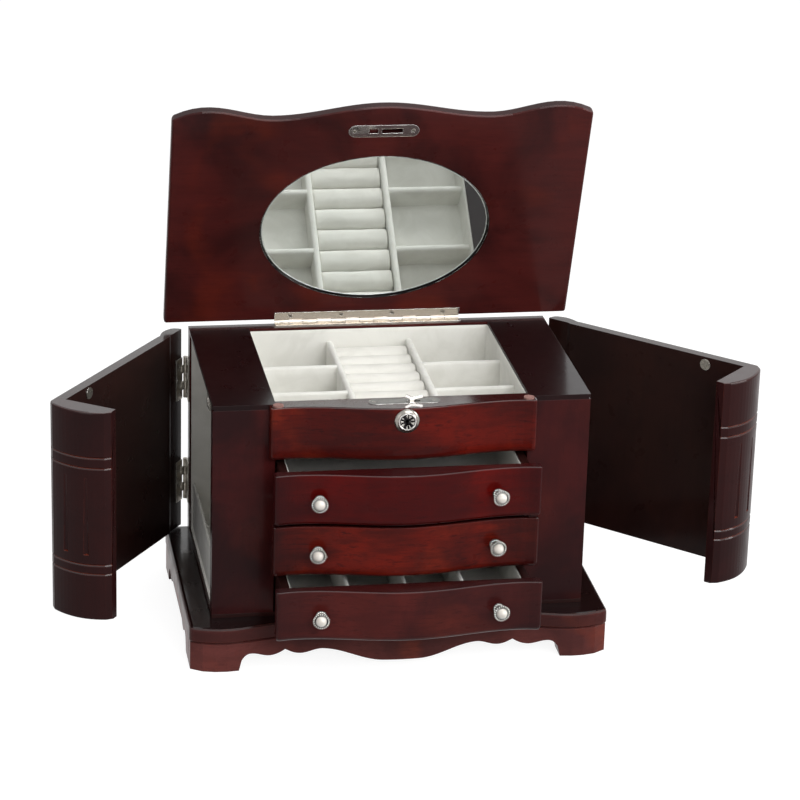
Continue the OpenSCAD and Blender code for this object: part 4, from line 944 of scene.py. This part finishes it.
def gathers(column):
    """How far the gathered cloth stands out at a column, from -1 to 1; no two folds are alike."""
    fold = math.sin(column * 0.78 + 1.4 * math.sin(column * 0.17))
    return fold * (0.55 + 0.45 * math.sin(column * 0.31))


def pocket_sheets(side, sign):
    """The pocket's outer and inner points by row, flat at the bottom and gathered at the hem."""
    (x0, x1), (y0, y1), (z0, z1) = box_spans(f"necklace_pocket_{side}")
    outer = max(abs(x0), abs(x1)) - CLEAR_OUTSIDE
    inner = min(abs(x0), abs(x1)) + CLEAR_INSIDE
    middle = (outer + inner) / 2
    reach = (outer - inner) / 2 - CLOTH_T / 2
    front, back = [], []
    for r in range(POCKET_ROWS + 1):
        share = r / POCKET_ROWS
        gather = share ** 1.5
        top, under = [], []
        for c in range(POCKET_COLUMNS + 1):
            x = middle - 0.3 * MM * gather + reach * GATHER_REACH * gathers(c) * gather
            y = y0 + (y1 - y0) * c / POCKET_COLUMNS
            z = z0 + (z1 - z0) * share - HEM_SAG * gather * (1 + math.sin(c * 0.05))
            top.append(Vector((sign * (x + CLOTH_T / 2), y, z)))
            under.append(Vector((sign * (x - CLOTH_T / 2), y, z)))
        front.append(top)
        back.append(under)
    return front, back


def make_pockets():
    """A gathered pocket with an elastic hem along each side compartment."""
    for side, sign in SIDES:
        front, back = pocket_sheets(side, sign)
        pocket = piece_from(f"necklace_pocket_cloth_{side}",
                            [skin([f + b[::-1] for f, b in zip(front, back)])], IVORY, "cabinet",
                            [f"necklace_pocket_{side}"])
        hem_rings = []
        for outer_spot, inner_spot in zip(front[-1], back[-1]):
            spot = (outer_spot + inner_spot) / 2 - Vector((0, 0, HEM_H / 2))
            hem_rings.append([
                spot + Vector((HEM_HALF_T * math.cos(a), 0, HEM_H / 2 * math.sin(a)))
                for a in round_turn(12)
            ])
        hem = piece_from(f"necklace_pocket_hem_{side}", [skin(hem_rings)], IVORY_ROLL, "cabinet")


# Mirror

# The black ring round the mirror paints the shade in the gap between glass and wood.
SHADE_RING_W = 1.5 * MM
SHADE_RING_TOP = 2.1 * MM
GROUND_W = 0.8 * MM
GROUND_DEPTH = 0.5 * MM
OVAL_POINTS = 160
GLASS_SHARP = math.radians(12)


def corners(points):
    """The lowest and highest corner of the box round some points."""
    return [Vector([pick(p[i] for p in points) for i in range(3)]) for pick in (min, max)]


def make_mirror():
    """The oval glass with its ground edge, let into the lid, with a black ring round it that
    paints the shade in the gap between glass and wood.
    """
    turn = joint_turn("lid_hinge")
    shut = turn.inverted()
    low, high = corners([shut @ v.co for v in NODES["mirror_glass"].data.vertices])
    centre = (low + high) / 2
    a, b = (high.x - low.x) / 2, (high.y - low.y) / 2

    def oval(inset, z):
        spots = [(centre.x + (a - inset) * math.cos(t), centre.y + (b - inset) * math.sin(t), z)
                 for t in round_turn(OVAL_POINTS)]
        return [turn @ Vector(spot) for spot in spots]

    rings = [oval(0, high.z), oval(0, low.z + GROUND_DEPTH), oval(SHADE_RING_W, low.z + GROUND_DEPTH),
             oval(SHADE_RING_W + GROUND_W, low.z)]
    piece_from("mirror_oval", [skin(rings)], MIRROR, "lid", ["mirror_glass"],
               sharp=GLASS_SHARP)
    edge = [(SHADE_RING_W, GROUND_DEPTH - 0.1 * MM), (SHADE_RING_W, -0.05 * MM), (SHADE_RING_W + 0.2 * MM, -0.2 * MM),
            (SHADE_RING_W + GROUND_W - 0.1 * MM, -0.1 * MM), (SHADE_RING_W + GROUND_W, 0.02 * MM)]
    loops = [oval(inset, low.z + z) for inset, z in edge]
    piece_from("mirror_ground_edge", [skin(loops + loops[:1], capped=False)], FROSTED, "lid")
    # Painted shade: a black ring in the gap round the glass.
    profile = [(0.05 * MM, GROUND_DEPTH - 0.02 * MM), (0.05 * MM, -SHADE_RING_TOP + 0.3 * MM),
               (0.2 * MM, -SHADE_RING_TOP), (0.5 * MM, -SHADE_RING_TOP), (SHADE_RING_W - 0.4 * MM, -SHADE_RING_TOP * 0.7),
               (SHADE_RING_W - 0.1 * MM, -SHADE_RING_TOP * 0.3), (SHADE_RING_W, 0.1 * MM),
               (SHADE_RING_W - 0.1 * MM, GROUND_DEPTH - 0.02 * MM)]
    loops = [oval(inset, low.z + z) for inset, z in profile]
    piece_from("mirror_shade_ring", [skin(loops + loops[:1], capped=False)], SHADE_RING_BLACK, "lid")


# Knobs

BEAD_COUNT = 22
PETAL_COUNT = 14
PEARL_RISE = 10.1 * MM
FOOT_R = 4.25 * MM
RING_R = 6.6 * MM
BEZEL_W = 0.5 * MM
KNOB_SHARP = math.radians(50)
NEVER_SHARP = math.pi


def aimed(spot, outward):
    """The matrix that puts a thing turned about Z at a spot, with its top facing outward."""
    turn = Vector(outward).to_track_quat("Z", "Y").to_matrix().to_4x4()
    return Matrix.Translation(Vector(spot)) @ turn


def make_knobs():
    """Knobs of oxidised nickel with a ring of bright beads round a pearl, two on each drawer."""
    for i in DRAWERS:
        for side, sign in SIDES:
            pearl_spots, knob_spots = [
                [v.co for v in NODES[f"drawer_{i}_{kind}"].data.vertices if v.co.x * sign > 0]
                for kind in ("pearls", "knobs")
            ]
            low, high = corners(pearl_spots)
            seat = (low + high) / 2
            radius = max((p - seat).length for p in pearl_spots)
            axis = (seat - sum(knob_spots, Vector()) / len(knob_spots)).normalized()
            to_place = aimed(seat, axis)
            reach = max((seat - p).dot(axis) for p in knob_spots)
            body, replaced = f"drawer_{i}", [f"drawer_{i}_knobs"]
            core = [moved(knob_core(radius, reach), to_place)]
            piece_from(f"knob_core_{i}_{side}", core, OXIDE_AND_GAP_SHADE, body, replaced,
                       sharp=KNOB_SHARP)
            beads = [moved(bead, to_place) for bead in knob_beads(radius)]
            piece_from(f"knob_beads_{i}_{side}", beads, NICKEL, body, replaced,
                       sharp=KNOB_SHARP)
            pearl = moved(ball(radius, 40, 22), to_place)
            piece_from(f"pearl_{i}_{side}", [pearl], PEARL, body,
                       [f"drawer_{i}_pearls"], sharp=NEVER_SHARP)


def knob_core(pearl_r, reach):
    """A knob's dark metal about its pearl's centre: bolt, foot, neck, cup and the ring's back."""
    foot = -PEARL_RISE
    rim = pearl_r + BEZEL_W
    return lathe([
        (0, -reach), (1.5 * MM, -reach), (1.5 * MM, foot), (FOOT_R, foot),
        (FOOT_R, foot + 0.8 * MM), (FOOT_R - 0.3 * MM, foot + 1.0 * MM),
        (FOOT_R - 1.5 * MM, foot + 1.7 * MM), (2.6 * MM, foot + 2.4 * MM),
        (1.9 * MM, foot + 3.4 * MM), (2.0 * MM, foot + 4.4 * MM), (3.4 * MM, foot + 6.0 * MM),
        (rim - 0.4 * MM, foot + 7.8 * MM), (RING_R - 0.7 * MM, -1.0 * MM),
        (RING_R - 0.6 * MM, -0.75 * MM), (rim, -0.45 * MM), (rim - 0.1 * MM, 0.4 * MM),
        (pearl_r + 0.05 * MM, 0.55 * MM), (pearl_r * 0.92, -1.4 * MM), (0, -2 * MM)], 48)


def knob_beads(pearl_r):
    """A knob's bright metal: long beads round the pearl and petals on the foot."""
    shapes = []
    inner = pearl_r + 0.35 * MM
    middle, half = (RING_R + inner) / 2, (RING_R - inner) / 2
    bead = moved(ball(1.0, 14, 9), Matrix.Diagonal((half, 0.38 * MM, 1.0 * MM, 1)))
    petal = moved(ball(1.0, 12, 7), Matrix.Diagonal((0.85 * MM, 0.55 * MM, 0.5 * MM, 1)))
    rows = ((bead, BEAD_COUNT, (middle, 0, -0.1 * MM)),
            (petal, PETAL_COUNT, (FOOT_R - 1.0 * MM, 0, 1.25 * MM - PEARL_RISE)))
    for shape, count, spot in rows:
        for angle in round_turn(count):
            turn = Matrix.Rotation(angle, 4, "Z")
            shapes.append(moved(shape, turn @ Matrix.Translation(spot)))
    return shapes


# Hinge screws

HINGE_HEIGHTS = (165.9 * MM, 77.9 * MM)
HINGE_SCREW_STEP = 12 * MM
SCREW_R = 1.7 * MM
SCREW_DOME = 0.55 * MM
SCREW_STAGGER = 1.6 * MM
FIXED_LEAF_FACE = 1.0 * MM
DOOR_LEAF_FACE = 2.7 * MM
LEAF_MIDDLE = 5.6 * MM
DOOR_LEAF_SHIFT = 1.4 * MM


def screw_head(spot, outward):
    """A round head standing on a leaf."""
    profile = [(0, -0.2 * MM), (SCREW_R, -0.2 * MM), (SCREW_R, 0.1 * MM),
               (SCREW_R * 0.8, SCREW_DOME * 0.75), (SCREW_R * 0.5, SCREW_DOME * 0.95),
               (0, SCREW_DOME)]
    return moved(lathe(profile, 20), aimed(spot, outward))


def make_hinge_screws():
    """Three screws in each leaf of the four door hinges."""
    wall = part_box("bottom_board")[1][0]
    fixed_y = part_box("back_panel")[1][1] - LEAF_MIDDLE
    door_y = fixed_y - DOOR_LEAF_SHIFT
    fixed, swinging = [], {"left": [], "right": []}
    for height in HINGE_HEIGHTS:
        for k in (-1, 0, 1):
            z = height + k * HINGE_SCREW_STEP
            shift = SCREW_STAGGER if k else -SCREW_STAGGER
            for side, sign in SIDES:
                spot = (sign * (wall + FIXED_LEAF_FACE), fixed_y + shift, z)
                fixed.append(screw_head(spot, (sign, 0, 0)))
                spot = (sign * (wall + DOOR_LEAF_FACE), door_y + shift, z)
                head = screw_head(spot, (-sign, 0, 0))
                swinging[side].append(moved(head, joint_turn(f"{side}_door_hinge")))
    piece_from("door_hinge_screws_fixed", fixed, DULL_NICKEL, "cabinet")
    for side, shapes in swinging.items():
        piece_from(f"door_hinge_screws_{side}", shapes, DULL_NICKEL, f"{side}_door")


# Piano hinge

LID_KNUCKLES = 13
KNUCKLE_R = 1.7 * MM
# Dark discs that paint the shade between the knuckles.
GAP_SHADE_W = 0.5 * MM
GAP_SHADE_PROUD = 0.04 * MM


def make_knuckle_gap_shade():
    """Dark discs between the piano hinge's knuckles: painted shade in the gaps."""
    pin = Vector(JOINTS["lid_hinge"]["pos_m"])
    low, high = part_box("lid_hinge_fixed_leaf")
    step = (high.x - low.x) / LID_KNUCKLES
    r, w = KNUCKLE_R + GAP_SHADE_PROUD, GAP_SHADE_W / 2
    disc = lathe([(0, -w), (r - 0.1 * MM, -w), (r, -w * 0.6), (r, w * 0.6), (r - 0.1 * MM, w),
                  (0, w)], 32)
    turn = Matrix.Rotation(math.pi / 2, 4, "Y")
    shapes = [
        moved(disc, Matrix.Translation((low.x + k * step, pin.y, pin.z)) @ turn)
        for k in range(1, LID_KNUCKLES)
    ]
    piece_from("knuckle_gap_shade", shapes, OXIDE_AND_GAP_SHADE, "cabinet")


# Lock face

FACETS = 9
FACET_IN = 2.5 * MM
FACET_OUT = 5.3 * MM
FACET_SUNK = -0.05 * MM
FACET_RISE = (0.05 * MM, 0.75 * MM, 0.75 * MM)
FACET_SHARP = 0.1


def at_angles(spots):
    """Points from (radius, angle, height)."""
    return [(r * math.cos(t), r * math.sin(t), z) for r, t, z in spots]


def make_lock_face():
    """A bright ring round the plug, and the plug's face cut in facets."""
    low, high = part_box("lock_plug")
    centre = Vector(((low.x + high.x) / 2, low.y, (low.z + high.z) / 2))
    turn = Matrix.Translation(centre) @ Matrix.Rotation(math.pi / 2, 4, "X")
    rise = centre.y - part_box("escutcheon")[0].y
    r = (high.x - low.x) / 2
    ring = [(r + 0.5 * MM, rise - 0.9 * MM), (r + 0.35 * MM, rise - 0.1 * MM),
            (r + 0.7 * MM, rise + 0.2 * MM), (r + 1.2 * MM, rise + 0.05 * MM),
            (r + 1.5 * MM, rise - 0.5 * MM), (r + 1.2 * MM, rise - 0.9 * MM)]
    rows = [at_angles((q, t, z) for t in round_turn(64)) for q, z in ring + ring[:1]]
    piece_from("keyhole_ring", [moved(skin(rows, capped=False), turn)], PLATE_NICKEL, "cabinet")
    facets = []
    for k in range(FACETS):
        # Facets of uneven width and spacing, as cut by hand.
        mid = 2 * math.pi * (k + 0.5 + 0.15 * math.sin(k * 2.4)) / FACETS
        half = math.pi / FACETS * (0.45 + 0.25 * math.sin(k * 1.7))
        flat = ((FACET_IN, mid), (FACET_OUT, mid - half), (FACET_OUT, mid + half))
        upper = at_angles((*spot, z) for spot, z in zip(flat, FACET_RISE))
        under = at_angles((*spot, FACET_SUNK) for spot in flat)
        facets.append(moved(skin([under, upper]), turn))
    piece_from("plug_facets", facets, SATIN_NICKEL, "lock_plug",
               sharp=FACET_SHARP)


make_linings()
make_dividers()
make_rolls()
make_pockets()
make_mirror()
make_knobs()
make_hinge_screws()
make_knuckle_gap_shade()
make_lock_face()


# Studio

LIGHT_AIM = Vector((0, 0, 0.2))
SOFT_WORLD = 0.32
FLOOR_SIZE = 40.0
FLOOR_GREY = 0.24
FLOOR_GLOW = 0.9


def softbox(name, spot, size, power):
    """A square studio light, in metres and watts, aimed at the box."""
    data = bpy.data.lights.new(name, "AREA")
    data.shape = "SQUARE"
    data.size = size
    data.energy = power
    light = bpy.data.objects.new(name, data)
    light.location = spot
    light.rotation_mode = "QUATERNION"
    light.rotation_quaternion = (LIGHT_AIM - Vector(spot)).to_track_quat("-Z", "Y")
    bpy.context.scene.collection.objects.link(light)


def make_lights():
    """A key light in front, fill from both sides, and a wide light above."""
    softbox("key_light", (0.6, -2.1, 1.6), 1.4, 36)
    softbox("left_light", (-1.6, -1.8, 0.9), 1.4, 9)
    softbox("right_light", (2.0, -0.9, 0.9), 1.2, 28)
    softbox("top_light", (0.1, 0.0, 2.2), 1.6, 17)


def make_world():
    """Soft light from all round; the camera, mirrors and glass see it as white."""
    world = bpy.data.worlds.new("studio")
    world.use_nodes = True
    tree = world.node_tree
    tree.nodes.clear()
    ray = add(tree, "LightPath")
    seen = maths(tree, "MAXIMUM", ray.outputs["Is Camera Ray"],
                 maths(tree, "MAXIMUM", ray.outputs["Is Glossy Ray"],
                       ray.outputs["Is Transmission Ray"]))
    soft = add(tree, "Background", {"Color": (1, 1, 1, 1), "Strength": SOFT_WORLD})
    white = add(tree, "Background", {"Color": (1, 1, 1, 1), "Strength": 1.0})
    both = add(tree, "MixShader", {0: seen, 1: soft.outputs[0], 2: white.outputs[0]})
    end = add(tree, "OutputWorld", {"Surface": both.outputs[0]})
    end.is_active_output = True
    bpy.context.scene.world = world


def make_floor():
    """A white floor that keeps a faint shadow."""
    half = FLOOR_SIZE / 2
    mesh = bpy.data.meshes.new("floor")
    mesh.from_pydata([(-half, -half, 0), (half, -half, 0), (half, half, 0), (-half, half, 0)], [],
                     [(0, 1, 2, 3)])
    floor = bpy.data.objects.new("floor", mesh)
    bpy.context.scene.collection.objects.link(floor)
    material = bpy.data.materials.new("white_floor")
    material.use_nodes = True
    tree = material.node_tree
    tree.nodes.clear()
    ray = add(tree, "LightPath")
    seen = maths(tree, "MAXIMUM", ray.outputs["Is Camera Ray"], ray.outputs["Is Glossy Ray"])
    paper = add(tree, "BsdfDiffuse", {"Color": (FLOOR_GREY, FLOOR_GREY, FLOOR_GREY, 1)})
    strength = maths(tree, "MULTIPLY", seen, FLOOR_GLOW)
    glow = add(tree, "Emission", {"Color": (1, 1, 1, 1), "Strength": strength})
    both = add(tree, "AddShader", {0: paper.outputs[0], 1: glow.outputs[0]})
    add(tree, "OutputMaterial", {"Surface": both.outputs[0]})
    mesh.materials.append(material)


make_lights()
make_world()
make_floor()
bpy.context.scene.view_settings.view_transform = "Standard"
